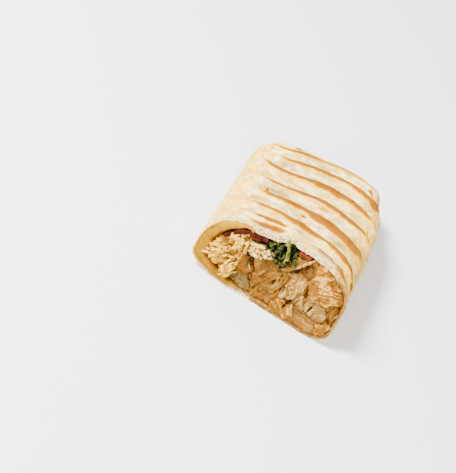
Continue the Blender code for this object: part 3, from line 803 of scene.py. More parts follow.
def sheet_distances():
    """Where the sheet's rings lie along the top, evenly spaced over the body and round the folded end."""
    end = np.linspace(0, 1, 4000)[:-1]
    wide = HALF * (1 - end**END_WIDE_POWER) ** (1 / END_WIDE_POWER)
    tall = HEIGHT * 0.4 * (1 - end**END_TALL_POWER) ** (1 / END_TALL_POWER)
    steps = np.sqrt(np.diff(end * END_ROUND) ** 2 + 0.5 * np.diff(wide) ** 2 + np.diff(tall) ** 2)
    travelled = np.concatenate([[0], np.cumsum(steps)])
    end = np.interp(np.linspace(0, travelled[-1] * 0.985, END_RINGS), travelled, end)
    return np.array([*np.linspace(0, BODY_TOP, BODY_RINGS), *(BODY_TOP + END_ROUND * end[1:])])


def sheet_relief(grid, distance, nearest, x, z, where):
    """How far the sheet stands out: pressed in by the bars, puffed between them, crinkled, folded over."""
    under = facing_down(where)
    pressed = (1 - ease(nearest, 1.2 * MM, 4.0 * MM)) * np.maximum(window(where, 24, 158, 9), 0.6 * under)
    puff = 0.7 * MM * (1 - pressed) * facing_up(where) * (1 - 0.8 * ease(distance, 70 * MM, 92 * MM))
    out = -1.3 * MM * pressed + puff
    out += 0.35 * MM * rougher(grid, 11 * MM, 11, 2) * (1 - 0.85 * window(where, 225, 320, 8))
    crinkle = 1 - 2 * np.abs(rough(grid * np.array([0.55, 1, 1]), 4.5 * MM, 12)) ** 0.8
    out += 0.2 * MM * crinkle * (1 - under) + 0.16 * MM * rougher(grid, 2.4 * MM, 13, 2)
    waves = np.sin(2 * math.pi * distance / (MARK_PITCH / 3) + 2.5 * rough(grid, 9 * MM, 14))
    out += 0.35 * MM * waves * window(x, -41 * MM, -28 * MM, 4 * MM) * (z > SECTION_MIDDLE)
    flap_edge = 1.22 - 0.36 * np.maximum(0, np.cos(np.radians(where - 5))) ** 4
    flapped = np.maximum(window(where, -1, 140, 20), window(where, 330, 361, 12))
    return out + 0.9 * MM * ease(station_at(distance), flap_edge, flap_edge + 0.05) * flapped


def sheet_marks(grid, distance, real, nearest, x, where):
    """Numbers for the outside of the sheet: toasted, glowing, damp and burnt places, and the side walls."""
    top = facing_up(where)
    wander = 0.5 * MM * rough(grid, 6 * MM, 5) + 0.3 * MM * rough(grid, 2 * MM, 6)
    strong = 0.92 + 0.16 * rough(grid, 7 * MM, 21)
    smears = dabs(SMEARS, x, real, grid) * window(where, 8, 170, 8)
    grill = np.maximum(toasting(x, distance, wander) * strong * top, smears)
    grill = np.maximum(grill, (1 - ease(nearest + wander, 1.5 * MM, 3.0 * MM)) * facing_down(where) * 0.8)
    right = np.maximum(window(where, -1, 24, 12), window(where, 335, 361, 12))
    return {
        "grill": grill,
        "glow": toasting(x, distance, wander - 1.3 * MM) * top,
        "darker_patches": dabs(DARK_PATCHES, x, real, grid) * window(where, -1, 175, 8),
        "char": dabs(BURNT, x, real, grid) * top,
        "side": np.maximum(right, window(where, 163, 215, 14)),
    }


def rim_rings(points, inward, wall):
    """Rings across the sheet's cut edge: rounded, and split where two layers of it meet."""
    rings = []
    for share in RIM_SHARES:
        lip = 0.45 * MM * math.sin(math.pi * share) ** 0.5
        split = 0.9 * MM * math.exp(-(((share - 0.5) / 0.12) ** 2)) * np.clip((wall - WALL) / MM, 0, 1)
        spots = points + inward * wall[:, None] * share
        ring = place(spots[:, 0], spots[:, 1], 0, lip - split)
        ring[:, 1] -= 0.3 * MM * rough(ring, 1.1 * MM, 33)
        rings.append(ring)
    return np.array(rings)


def inner_rings(points, inward, wall):
    """Rings of the sheet's inside, held further in towards the folded end."""
    rings = []
    for station in LINING_STATIONS:
        inset = 5 * MM * ease(station, 0.9, 1.4)
        spots = points + inward * (wall + inset)[:, None]
        rings.append(place(spots[:, 0], spots[:, 1], station, inset))
    return np.array(rings)


def sheet_numbers(marks, distance, wheres):
    """The sheet's numbers on the outside, across the rim and on the inside, in the order of its rings."""

    def stacked(outer, on_rim=0.0, within=0.0):
        rim = np.broadcast_to(on_rim, (len(RIM_SHARES), RING))
        return np.concatenate([outer[::-1], rim, np.broadcast_to(within, (len(LINING_STATIONS), RING))])

    through = np.linspace(0, 1, len(RIM_SHARES))[:, None]
    upper = window(wheres, 40, 165, 12)
    low = np.maximum(window(wheres, 262, 361, 12), window(wheres, -1, 30, 12))
    crumbly = np.maximum(0.5 * window(wheres, 88, 130, 8), low)
    low_right = np.maximum(window(wheres, 262, 361, 8), window(wheres, -1, 24, 10))
    # The inner half of the lower left cut edge, under the outer layer: painted dark, a painted shade.
    low_left = window(wheres, 232, 262, 8)[None, :] * ease(through, 0.35, 0.6)
    cheesy = window(wheres, 166, 224, 14) * ease(through, 0.0, 0.45)
    lip = np.exp(-distance / (0.5 * MM)) * (0.3 + 0.7 * upper - 0.3 * low_right)
    none = np.zeros_like(marks["grill"])
    return {
        "grill": stacked(marks["grill"]),
        "glow": stacked(marks["glow"]),
        "darker_patches": stacked(marks["darker_patches"]),
        "char": stacked(marks["char"]),
        "rim": stacked(lip, 1 - 0.75 * low_right),
        # Stain: a sauce stain on the lower right of the cut edge, a painted shade on the lower left, and
        # darker all over the inside.
        "sauce_stain_and_shade": stacked(none, np.maximum(0.92 * low_right, 0.85 * low_left), 1.0),
        "sauce": stacked(0.4 * low_right * np.exp(-distance / (2.2 * MM))),
        "side": stacked(marks["side"]),
        "fuzz": stacked(np.exp(-distance / (0.8 * MM)) * upper, upper),
        "crumbs": stacked(np.exp(-distance / (0.6 * MM)) * crumbly, crumbly * 0.6),
        "cheesy": stacked(none, cheesy, 0.5),
    }


def tortilla(paint):
    points, inward, wheres = section(RING)
    x, z = points[:, 0], points[:, 1]
    rows, reals, nearests = [], [], []
    distances = sheet_distances()
    for distance in distances:
        fade = 1 - ease(distance, BODY_TOP + 0.55 * END_ROUND, BODY_TOP + 0.85 * END_ROUND)
        moved = bent(x, distance) * fade + distance * (1 - fade)
        rows.append(place(x, z, station_at(moved)))
        reals.append(moved)
        nearests.append(min(abs(distance - MARK_FIRST - i * MARK_PITCH) for i in range(MARK_COUNT)))
    grid, real = np.array(rows), np.array(reals)
    spread = (distances[:, None], np.array(nearests)[:, None], x, z, wheres)
    distance, nearest, across, up, where = np.broadcast_arrays(*spread)
    grid = grid + grid_normals(grid) * sheet_relief(grid, distance, nearest, across, up, where)[..., None]
    grid[..., 2] = np.maximum(grid[..., 2], 0)
    marks = sheet_marks(grid, distance, real, nearest, across, where)

    wall = wall_at(wheres)
    rim, inner = rim_rings(points, inward, wall), inner_rings(points, inward, wall)
    ragged = 0.7 * MM * rough(grid[0], 4 * MM, 31) + 0.4 * MM * rough(grid[0], 1.3 * MM, 32)
    fade = np.exp(-np.arange(len(grid)) / 3.0)[:, None] * ragged[None, :]
    grid[..., 1] -= fade * (grid[..., 2] > 1 * MM)
    rim[..., 1] -= ragged * (rim[..., 2] > 1 * MM)
    whole = np.concatenate([grid[::-1], rim, inner])
    return closed_rings("tortilla_toasted", whole, paint, sheet_numbers(marks, distance, wheres))


# ---------------------------------------------------------------- bands along the wall


INNER_STATIONS = (0.012, 0.03, 0.06, 0.1, 0.16, 0.26, 0.38, 0.55, 0.8, 1.0, 1.2, 1.4, 1.6)


def band_piece(name, first, last, count, near, far, paint, face, ragged, seed, lump):
    """A closed band between two depths, with a rounded, uneven face at the cut."""
    points, inward, wheres = section(2400)
    where = np.linspace(first, last, count)
    order = np.argsort(wheres)
    pick = np.interp(where, wheres[order], np.arange(2400)[order].astype(float)).astype(int)
    base, normal = points[pick], inward[pick]

    def ring(station, share, forward):
        outer_depth, inner_depth = near(where, station), far(where, station)
        middle = (outer_depth + inner_depth) / 2
        rows = []
        for depth in (outer_depth, inner_depth):
            depth = middle + (depth - middle) * share
            spots = base + normal * depth[:, None]
            rows.append(place(spots[:, 0], spots[:, 1], station, forward))
        return np.concatenate([rows[0], rows[1][::-1]])

    uneven = ragged * rough(np.stack([where * 0.5 * MM, 0 * where, 0 * where], 1), 3 * MM, seed)
    rows, layers = [], []
    across = np.concatenate([np.zeros(count), np.ones(count)])
    for share in (0.06, 0.25, 0.45, 0.65, 0.82, 0.94, 1.0):
        out = face * math.sqrt(max(0.0, 1 - share**2.4)) + uneven
        rows.append(ring(0.0, share, out))
        layers.append(0.5 + (across - 0.5) * share)
    for station in INNER_STATIONS:
        rows.append(ring(station, 1.0, 0.0))
        layers.append(across)
    grid = np.array(rows)
    grid += grid_normals(grid) * (lump * rougher(grid, 3 * MM, seed + 1, 2))[..., None]
    # Paler towards the band's upper end, read by the cheese: a painted highlight.
    pale = np.concatenate([where, where[::-1]])
    pale = (1 - ease(pale, 150, 176)) * 0.8
    numbers = {"layer": np.array(layers), "pale": np.tile(pale, (len(rows), 1))}
    return closed_rings(name, grid, paint, numbers, fan=False)


def under_bacon(where):
    """The bacon's depth, without the steps where the sheet and the cheese end."""
    return np.mean([behind_cheese(where + off) for off in range(-9, 10, 3)], 0)


def linings(cheese, bacon, red_bacon):
    def cheese_far(where, station):
        thick = CHEESE[2] * np.maximum(CHEESE[3], lining_share(CHEESE, where))
        thick = np.maximum(thick, (under_bacon(where) - wall_at(where) - 2 * GAP) * (where < 160))
        flow = 1 + 0.09 * np.sin(where / 7.0) + 0.06 * np.sin(where / 2.9 + 1)
        return wall_at(where) + GAP + thick * flow

    def left_far(where, station):
        thick = np.maximum(BACON_LEFT[3], lining_share(BACON_LEFT, where))
        return under_bacon(where) + 1.4 * BACON_LEFT[2] * thick

    def right_far(where, station):
        thick = np.maximum(BACON_RIGHT[3], lining_share(BACON_RIGHT, where))
        return wall_at(where) + GAP + BACON_RIGHT[2] * thick

    melted = band_piece(
        "cheese_melted", CHEESE[0] - 10, CHEESE[1] + 2, 140, lambda w, k: wall_at(w) + 0.02 * MM, cheese_far,
        cheese, face=1.5 * MM, ragged=0.6 * MM, seed=3, lump=0.4 * MM,
    )
    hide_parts("cheese")
    left = band_piece(
        "bacon_left_fried", BACON_LEFT[0], BACON_LEFT[1], 90, lambda w, k: under_bacon(w), left_far,
        bacon, face=1.5 * MM, ragged=1.4 * MM, seed=5, lump=0.3 * MM,
    )
    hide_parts("bacon_left")
    right = band_piece(
        "bacon_right_fried", BACON_RIGHT[0], BACON_RIGHT[1], 40, lambda w, k: wall_at(w) + GAP, right_far,
        red_bacon, face=0.8 * MM, ragged=0.9 * MM, seed=7, lump=0.3 * MM,
    )
    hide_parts("bacon_right")
    return [melted, left, right]


# ---------------------------------------------------------------- lettuce


# Leaves: path of (x, z) in the cut, seed, how far in and out they reach, ruffles' depth and length, and how
# much painted highlight they carry.
LEAVES = (
    (((-9, 33), (-5, 35.5), (-1, 34), (3, 37.5), (7, 35), (11, 36.5)), 1, 9, 1.2, 1.0, 5.0, 0.0),
    (((-6.5, 32.5), (-2.5, 31), (1.0, 31), (4, 32.5), (7, 32), (9.5, 34)), 2, 9, 2.6, 1.9, 5.6, 0.0),
    (((-2.8, 30.5), (-1.2, 27.2), (0.8, 27), (2.4, 25.6), (3.8, 28.4), (4.6, 31)), 3, 5, 3.8, 1.0, 3.6, 0.0),
    (((1.2, 38.8), (2.0, 36), (3.6, 34.6), (4.4, 31.4), (3.8, 29.6)), 4, 6, 4.2, 0.9, 4.4, 0.8),
    (((7.2, 36.4), (8.2, 33.6), (9.4, 31.4), (9.0, 29.6)), 5, 6, 3.4, 0.8, 3.8, 0.0),
)
UNDER_LEAVES = (
    (((-17.5, 30.6), (-14, 30.2), (-10.5, 31.4), (-7.5, 30.8), (-4, 32.6)), 6, 9, 1.6, 0.8, 4.0, 0.0),
    (((-12, 31.4), (-9.4, 29.8), (-6.5, 31.6), (-4.5, 30.6)), 7, 9, 2.4, 0.9, 3.4, 0.0),
)


def leaf_sheet(paint, path, seed, inwards, outwards, ruffle, wave, pale):
    """A frilly leaf: a ribbon along a path, whose front edge ruffles."""
    path = np.array(path, float) * MM
    steps = np.concatenate([[0], np.cumsum(np.linalg.norm(np.diff(path, axis=0), axis=1))])
    u = np.linspace(0, steps[-1], max(24, int(steps[-1] / (0.22 * MM))))
    line = softened(u, steps, path, np.linspace(-1.2, 1.2, 7) * MM)
    tangent = unit(np.gradient(line, axis=0))
    side = np.stack([-tangent[:, 1], tangent[:, 0]], 1)
    v = np.linspace(0, 1, 26)
    spots = np.stack([u, 0 * u, 0 * u + seed * 0.1], 1)
    length = outwards + 0.9 * rough(spots, 2.2 * MM, seed) + 0.5 * rough(spots, 0.9 * MM, seed + 1)
    rows = []
    for share in v:
        forward = (-inwards + (inwards + length) * share) * MM
        grow = ruffle * MM * share**1.6
        swing = grow * (
            np.sin(2 * math.pi * u / (wave * MM) + seed)
            + 0.5 * np.sin(2 * math.pi * u / (wave * 0.45 * MM) + 2 * seed + 2.5 * share)
        )
        swing += 0.5 * MM * rough(np.stack([u, 0 * u + share * 6 * MM, 0 * u + seed], 1), 2.0 * MM, seed + 2)
        at = line + side * swing[:, None]
        rows.append(place(at[:, 0], at[:, 1], 0.0, forward))
    top = np.array(rows)
    normal = unit(np.cross(np.gradient(top, axis=1), np.gradient(top, axis=0)))
    thick = 0.22 * MM
    ring_rows = np.concatenate([top + normal * thick, (top - normal * thick)[:, ::-1]], 1)
    count = top.shape[1]
    edge = np.concatenate([np.tile(v[:, None] ** 3, (1, count))] * 2, 1)
    # The pale number: a painted highlight, strongest towards the front edge.
    highlight_share = np.full_like(edge, pale) * (0.5 + 0.5 * edge)
    return closed_rings("leaf", ring_rows, paint, {"edge": edge, "pale": highlight_share}, fan=False)


def lettuce(paint):
    main = join([leaf_sheet(paint, *leaf) for leaf in LEAVES], "lettuce_leaf_frilled")
    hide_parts("lettuce_leaf")
    low = join([leaf_sheet(paint, *leaf) for leaf in UNDER_LEAVES], "lettuce_leaf_under_frilled")
    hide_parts("lettuce_leaf_under")
    return [main, low]


# ---------------------------------------------------------------- pieces of filling


def inside(outline, points):
    """Which points lie inside a closed outline, by the even-odd rule."""
    x, z = points[:, 0], points[:, 1]
    found = np.zeros(len(points), bool)
    for (x1, z1), (x2, z2) in zip(outline, np.roll(outline, -1, 0)):
        if z1 == z2:
            continue
        found ^= ((z1 > z) != (z2 > z)) & (x < (x2 - x1) * (z - z1) / (z2 - z1) + x1)
    return found


def nearness(piece, points):
    """How far points lie from a piece's middle, as a share of its size."""
    _, x, z, half_wide, half_high, tilt = piece[:6]
    along, over = turned(points[:, 0] - x * MM, points[:, 1] - z * MM, tilt)
    return np.hypot(along / (half_wide * MM), over / (half_high * MM))


def piece_outline(piece, room, sides, overlap, seed):
    """The cell round a piece, a little ragged and lapping over its neighbours."""
    centre = np.array([piece[1], piece[2]]) * MM
    reach = np.arange(0, 32, 0.12) * MM
    angles = 2 * math.pi * np.arange(sides) / sides
    spread = np.stack([np.cos(angles), np.sin(angles)], 1)
    flat = (centre + reach[None, :, None] * spread[:, None, :]).reshape(-1, 2)
    free = inside(room, flat)
    own = nearness(piece, flat)
    for other in PIECES:
        if other is not piece:
            free &= nearness(other, flat) > own
    free = free.reshape(sides, len(reach))
    far = reach[np.maximum(1, np.argmin(free, 1) - 1)]
    for _ in range(4):
        far = (np.roll(far, 1) + 2 * far + np.roll(far, -1)) / 4
    rim = np.concatenate([spread * far[:, None], 0 * far[:, None]], 1)
    far = far + overlap * (0.4 + 0.6 * rough(rim, 3 * MM, seed))
    far = far + 0.25 * MM * rough(rim, 1.2 * MM, seed + 1)
    return centre, angles, np.maximum(far, 0.4 * MM)


BACK_RINGS = ((0.012, 1.0), (0.03, 0.98), (0.06, 0.95), (0.12, 0.93))  # station and share of the width
BACK_FADE = (0.5, 0.3, 0.15, 0, 0, 0)  # how much of the relief is left on the rings behind the face
CRUST = (29.5, 28.4, 5.0, 2.2)  # where pale crust grains lie: x, z, half width and half height


def filling_piece(name, cell, back, out, look, paint, seed, dome=0.9, front_rows=38):
    """A piece of filling with a torn, fibrous face at the cut."""
    centre, angles, far = cell
    fibre, fibre_depth, lump_depth = look
    spread = np.stack([np.cos(angles), np.sin(angles)], 1)
    shares = np.linspace(0.02, 1, front_rows) ** 0.85
    rows, edge_shade, flats = [], [], []
    for share in shares:
        at = centre + spread * (far * share)[:, None]
        forward = (out + dome * (1 - share**3)) * MM - 0.5 * MM * ease(share, 0.88, 1.0)
        rows.append(place(at[:, 0], at[:, 1], 0.0, forward))
        flats.append(at)
        # Darker towards the face's edge and on the sides behind it: a painted shade.
        edge_shade.append(0.1 * ease(share, 0.9, 1.0))
    for station, narrow in (*BACK_RINGS, (back * 0.6, 0.9), (back, 0.8)):
        at = centre + spread * (far * narrow)[:, None]
        rows.append(place(at[:, 0], at[:, 1], station))
        flats.append(at)
        edge_shade.append(0.36)
    grid, flat = np.array(rows), np.array(flats)
    turn = math.radians(fibre)
    along = np.array([math.cos(turn), 0.15, math.sin(turn)])
    along /= np.linalg.norm(along)
    warped = grid + 0.7 * MM * np.stack([rough(grid, 2.5 * MM, seed + k) for k in (5, 6, 7)], -1)
    stretched = warped + (warped @ along)[..., None] * along * (0.16 - 1)
    strands = 1 - 2 * np.abs(rough(stretched, 1.5 * MM, seed)) ** 0.8
    strands = 0.75 * strands + 0.25 * rough(stretched, 0.8 * MM, seed + 1)
    lumps = rougher(warped, 6.5 * MM, seed + 2, 2)
    ledge = 2.5 * lumps + 0.5 * strands
    lumps = 0.5 * lumps + 0.5 * (np.floor(ledge) + ease(ledge - np.floor(ledge), 0.3, 0.7)) / 2.5
    mask = ease(rough(warped, 4.5 * MM, seed + 8), -0.05, 0.35)
    cracks = ease(1 - np.abs(rough(stretched, 2.4 * MM, seed + 4)), 0.86, 1.0) * mask
    gap = sunk(flat[..., 0], flat[..., 1])
    fade = np.concatenate([np.ones(front_rows), BACK_FADE])[:, None]
    relief = (lump_depth * lumps + fibre_depth * strands - 1.0 * cracks) * MM - gap
    normals = grid_normals(grid)
    if normals[2, :, 1].mean() > 0:
        normals = -normals
    grid = grid + normals * (relief * fade)[..., None]
    # The height number paints light on the face: high lumps and strands pale, a painted highlight; cracks,
    # gaps, edges and sides dark, a painted shade.
    height = 0.56 + 0.34 * lumps + 0.3 * strands * min(1.0, fibre_depth / 0.35)
    height = height - 0.6 * cracks - 0.45 * gap / MM
    height = np.clip(height, 0, 1) - np.array(edge_shade)[:, None] * 0.8
    loose = np.where(np.arange(len(grid)) < front_rows - 2, 1.0, 0.0)[:, None] * (gap < 0.4 * MM)
    crusted = np.hypot(*((flat[..., i] / MM - CRUST[i]) / CRUST[2 + i] for i in (0, 1)))
    values = {
        "height": np.clip(height, 0, 1),
        "loose": loose,
        "fibre": np.full(height.shape, turn),
        "crust": (1 - ease(crusted, 0.5, 1.2)) * loose,
    }
    return closed_rings(name, grid, paint, values)


def strand(name, path, radius, paint, seed, flat=0.6, sides=10, count=40):
    """A torn strand along a path of (x, z, forward), in millimetres."""
    path = np.array(path, float)
    steps = np.concatenate([[0], np.cumsum(np.linalg.norm(np.diff(path, axis=0), axis=1))])
    u = np.linspace(0, steps[-1], count)
    reach = steps[-1] * 0.12
    line = softened(u, steps, path, np.linspace(-reach, reach, 5))
    spine = place(line[:, 0] * MM, line[:, 1] * MM, 0.0, line[:, 2] * MM)
    tangent = unit(np.gradient(spine, axis=0))
    facing = np.array([0, -1, 0.35])
    side = unit(np.cross(tangent, facing))
    up = np.cross(side, tangent)
    share = u / steps[-1]
    thick = radius * MM * (0.35 + 0.65 * np.sin(math.pi * np.clip(share * 0.92 + 0.06, 0, 1)) ** 0.55)
    thick *= 1 + 0.22 * rough(spine, 2.0 * MM, seed)
    turns = 2 * math.pi * np.arange(sides) / sides
    ring = (
        side[:, None, :] * np.cos(turns)[None, :, None] + up[:, None, :] * np.sin(turns)[None, :, None] * flat
    ) * thick[:, None, None]
    grid = spine[:, None, :] + ring
    relief = rough(grid, 0.7 * MM, seed + 1)
    grid = grid + ring * 0.28 * relief[..., None]
    # The height number paints the strand pale where it bulges, a painted highlight, and in the flesh tone
    # where it dips.
    return closed_rings(name, grid, paint, {"height": np.clip(0.75 + 0.3 * relief, 0, 1)})


# Torn strands that stand out of the filling: path of (x, z, out) and radius, in millimetres.
STRANDS = (
    (
        ((-17.6, 24.5, 2.0), (-18.4, 20.0, 3.6), (-19.2, 15.0, 4.4), (-20.4, 9.8, 3.8), (-21.0, 8.4, 3.2)),
        0.95,
    ),
    (((-18.6, 23.0, 2.0), (-20.4, 19.0, 3.2), (-23.2, 15.8, 3.0)), 0.75),
    (((-31.8, 11.0, 1.6), (-30.0, 15.2, 2.9), (-27.4, 19.2, 3.0), (-25.4, 21.6, 2.2)), 1.5),
    (((-29.0, 10.4, 1.6), (-27.6, 14.0, 3.1), (-25.6, 17.4, 2.8)), 1.2),
    (((-22.8, 20.8, 1.8), (-23.6, 24.2, 3.0), (-23.8, 28.6, 2.2)), 1.25),
    (((-20.4, 21.0, 2.0), (-20.8, 24.8, 3.2), (-21.6, 29.2, 2.0)), 1.1),
    (((-18.2, 22.6, 1.8), (-18.0, 26.0, 2.8), (-18.8, 29.6, 1.6)), 0.95),
    (((-26.8, 22.6, 1.2), (-27.2, 25.4, 2.4), (-28.4, 28.2, 1.4)), 1.2),
    (((-24.8, 6.2, 2.4), (-24.2, 9.4, 3.7), (-23.0, 13.6, 2.8)), 1.7),
    (((-22.4, 8.8, 2.4), (-21.4, 12.0, 3.6), (-19.8, 15.4, 2.6)), 1.35),
    (((-16.0, 27.0, 1.8), (-13.0, 28.4, 3.2), (-9.6, 28.6, 2.6)), 1.3),
    (((-14.8, 24.6, 1.8), (-11.6, 26.4, 3.3), (-7.8, 26.0, 2.6)), 1.5),
    (((-10.0, 29.4, 1.6), (-6.6, 30.4, 2.9), (-2.6, 30.4, 1.8)), 1.3),
    (((-9.2, 27.0, 1.8), (-5.8, 28.0, 2.9), (-2.4, 28.4, 2.0)), 1.1),
    (((12.6, 24.4, 2.0), (13.6, 20.4, 3.6), (15.8, 15.2, 2.4)), 1.5),
    (((4.6, 25.0, 0.6), (8.4, 27.2, 1.5), (12.0, 31.0, 2.0), (15.4, 34.8, 1.9), (18.6, 37.4, 1.0)), 0.85),
    (((20.8, 19.0, 1.0), (22.0, 15.4, 2.4), (24.6, 12.0, 1.2)), 0.95),
    (((17.6, 12.0, 1.0), (19.4, 8.8, 2.4), (21.0, 5.6, 1.2)), 0.85),
)


# Loose strands that lie over the pieces: name, tone, which rows of STRANDS, first seed.
BUNDLES = (
    ("chicken_shreds_loose", "shred", 2, 10, 80),
    ("chicken_flakes_white", "white", 10, 14, 90),
    ("chicken_strips_pale", "pale", 14, 18, 100),
)


def bundle(name, paint, first, last, seed):
    """Some of the torn strands, as one object."""
    chosen = enumerate(STRANDS[first:last])
    return join([strand("strand", path, radius, paint, seed + i) for i, (path, radius) in chosen], name)


def filling(seed=40):
    paints = {tone: chicken_paint(tone, 3.0 * i) for i, tone in enumerate(TONES)}
    paints["onion"] = onion_paint()
    room = cavity(480)
    pieces = []
    for number, piece in enumerate(PIECES):
        name, out = piece[0], piece[7]
        back = piece[6] * MM / (SHOULDER_Y - CUT_Y)
        cell = piece_outline(piece, room, 112, 0.6 * MM, seed + number)
        if name == "onion":
            look = (-8, 0.25, 0.5)
            made = filling_piece("onion_soft", cell, back, out, look, paints["onion"], seed + number, 0.8)
        elif name == "chicken_strand":
            made = bundle("chicken_strand_torn", paints["shred"], 0, 2, seed + 60)
        else:
            tone, *look = LOOKS[name]
            made = filling_piece(name + "_torn", cell, back, out, look, paints[tone], seed + number)
        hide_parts(name)
        pieces.append(made)
    for name, tone, first, last, start in BUNDLES:
        made = bundle(name, paints[tone], first, last, seed + start)
        pieces.append(made)
    middle = room.mean(0)
    spread = room - middle
    angles = np.arctan2(spread[:, 1], spread[:, 0])
    order = np.argsort(angles)
    sides = 160
    even = -math.pi + 2 * math.pi * np.arange(sides) / sides
    far = np.interp(even, angles[order], np.linalg.norm(spread, axis=1)[order], period=2 * math.pi)
    cell, look = (middle, even, far + 0.8 * MM), (0, 0.2, 1.0)
    # A sheet of sauce behind the pieces, which also serves as painted shade in the gaps between them.
    sauce = filling_piece("dressing", cell, 0.05, -1.2, look, dressing_and_gap_shade_paint(), seed + 120, 0.3, 48)
    return [*pieces, sauce]


# ---------------------------------------------------------------- small things strewn about


def grain(paint, seed):
    """A crumb, one unit across."""
    mesh = bmesh.new()
    bmesh.ops.create_icosphere(mesh, subdivisions=2, radius=0.5)
    for vertex in mesh.verts:
        spot = np.array(vertex.co)
        vertex.co *= 1 + 0.45 * float(rough(spot, 0.45, seed))
        vertex.co.z *= 0.6
    data = bpy.data.meshes.new("grain")
    mesh.to_mesh(data)
    mesh.free()
    data.shade_smooth()
    data.materials.append(paint)
    return linked("grain", data)


def wisp(paint, seed, half):
    """A torn fibre along X, one unit long."""
    along = np.linspace(-0.5, 0.5, 11)
    turns = 2 * math.pi * np.arange(6) / 6
    thick = half * np.maximum(0.15, 1 - (2 * along) ** 2) * (1 + 0.3 * np.sin(7 * along + seed))
    arch = 0.09 * np.cos(math.pi * along) - 0.03
    sway = 0.09 * np.sin(5 * along + seed)
    ring = np.stack([0 * turns, np.cos(turns), 0.7 * np.sin(turns)], -1)
    grid = np.stack([along, sway, arch], -1)[:, None, :] + ring[None] * thick[:, None, None]
    grid = grid + ring[None] * 0.03 * rough(grid, 0.12, seed)[..., None]
    # The height number paints the fibre mostly in the pale ridge tone, a painted highlight.
    return closed_rings("wisp", grid, paint, {"height": np.full(grid.shape[:2], 0.8)})


class Recipe:
    """A Geometry Nodes tree that strews a unit over a ground, where the ground's weight numbers let it."""

    INPUTS = (
        ("Unit", "Object"), ("Paint", "Material"), ("Weight", "String"), ("Density", "Float"),
        ("Seed", "Int"), ("Smallest", "Float"), ("Largest", "Float"), ("Spin", "Float"),
    )

    def __init__(self):
        self.tree = bpy.data.node_groups.new("strew", "GeometryNodeTree")
        sockets = self.tree.interface
        sockets.new_socket("Ground", in_out="INPUT", socket_type="NodeSocketGeometry")
        self.keys = {
            label: sockets.new_socket(label, in_out="INPUT", socket_type="NodeSocket" + kind).identifier
            for label, kind in self.INPUTS
        }
        sockets.new_socket("Strewn", in_out="OUTPUT", socket_type="NodeSocketGeometry")
        given = self.node("NodeGroupInput")
        weight = self.attribute(given["Weight"])
        density = self.node("ShaderNodeMath", {0: weight, 1: given["Density"]}, operation="MULTIPLY")["Value"]
        points = self.node(
            "GeometryNodeDistributePointsOnFaces",
            {"Mesh": given["Ground"], "Density": density, "Seed": given["Seed"]},
        )
        upright = self.node("FunctionNodeAlignRotationToVector", {"Vector": points["Normal"]}, axis="Z")
        loosely = self.node(
            "FunctionNodeRandomValue", {2: -1.0, 3: 1.0, "Seed": given["Seed"]}, data_type="FLOAT"
        )
        swing = self.node(
            "ShaderNodeMath", {0: self.value_of(loosely), 1: given["Spin"], 2: self.attribute("fibre")},
            operation="MULTIPLY_ADD",
        )["Value"]
        turn = self.node("FunctionNodeAxisAngleToRotation", {"Axis": (0, 0, 1), "Angle": swing})["Rotation"]
        turned = self.node(
            "FunctionNodeRotateRotation",
            {"Rotation": upright["Rotation"], "Rotate By": turn},
            rotation_space="LOCAL",
        )["Rotation"]
        size = self.node(
            "FunctionNodeRandomValue",
            {2: given["Smallest"], 3: given["Largest"], "Seed": given["Seed"]},
            data_type="FLOAT",
        )
        unit = self.node("GeometryNodeObjectInfo", {"Object": given["Unit"]})["Geometry"]
        placed = self.node(
            "GeometryNodeInstanceOnPoints",
            {"Points": points["Points"], "Instance": unit, "Rotation": turned, "Scale": self.value_of(size)},
        )["Instances"]
        real = self.node("GeometryNodeRealizeInstances", {"Geometry": placed})["Geometry"]
        painted = self.node("GeometryNodeSetMaterial", {"Geometry": real, "Material": given["Paint"]})
        self.node("NodeGroupOutput", {"Strewn": painted["Geometry"]})

    def node(self, kind, sockets=None, **settings):
        made = self.tree.nodes.new(kind)
        for key, setting in settings.items():
            setattr(made, key, setting)
        for key, value in (sockets or {}).items():
            if isinstance(value, bpy.types.NodeSocket):
                self.tree.links.new(value, made.inputs[key])
            else:
                made.inputs[key].default_value = value
        return made.outputs

    def attribute(self, name):
        return self.node("GeometryNodeInputNamedAttribute", {"Name": name}, data_type="FLOAT")[0]

    @staticmethod
    def value_of(outputs):
        return next(socket for socket in outputs if socket.enabled)

    def strew(self, name, ground, slot, **choices):
        """A plain mesh object of all the copies."""
        holder = linked("ground", ground.data)
        modifier = holder.modifiers.new("strew", "NODES")
        modifier.node_group = self.tree
        for label, choice in choices.items():
            modifier[self.keys[label]] = choice
        bpy.context.view_layer.update()
        graph = bpy.context.evaluated_depsgraph_get()
        data = bpy.data.meshes.new_from_object(
            holder.evaluated_get(graph), preserve_all_data_layers=True, depsgraph=graph
        )
        bpy.data.objects.remove(holder)
        made = linked(name, data)
        return made


# What is strewn: name, ground, slot, unit, paint, weight, how many on a square millimetre, seed, smallest and
# largest in millimetres, spin.
STREWN = (
    ("chicken_fibres", "face", "chicken", "wisp", "golden", "loose", 0.05, 3, 1.6, 4.4, 0.6),
    ("chicken_fibres_shredded", "shreds", "chicken", "shred", "shred", "loose", 0.06, 5, 4.5, 10, 0.6),
    ("pepper_flecks", "face", "chicken", "grain", "pepper", "loose", 0.035, 7, 0.25, 0.7, 3.0),
    ("crust_grains", "crusted", "chicken", "grain", "crust", "crust", 3.0, 9, 0.35, 0.8, 3.0),
    ("flour_fuzz", "tortilla", "tortilla", "wisp", "flour", "fuzz", 2.2, 11, 0.5, 1.5, 3.0),
    ("toasted_crumbs", "tortilla", "tortilla", "grain", "toast", "crumbs", 0.6, 13, 0.3, 0.9, 3.0),
)
PER_SQUARE_MM = 1e6  # one on each square millimetre, counted for a square metre


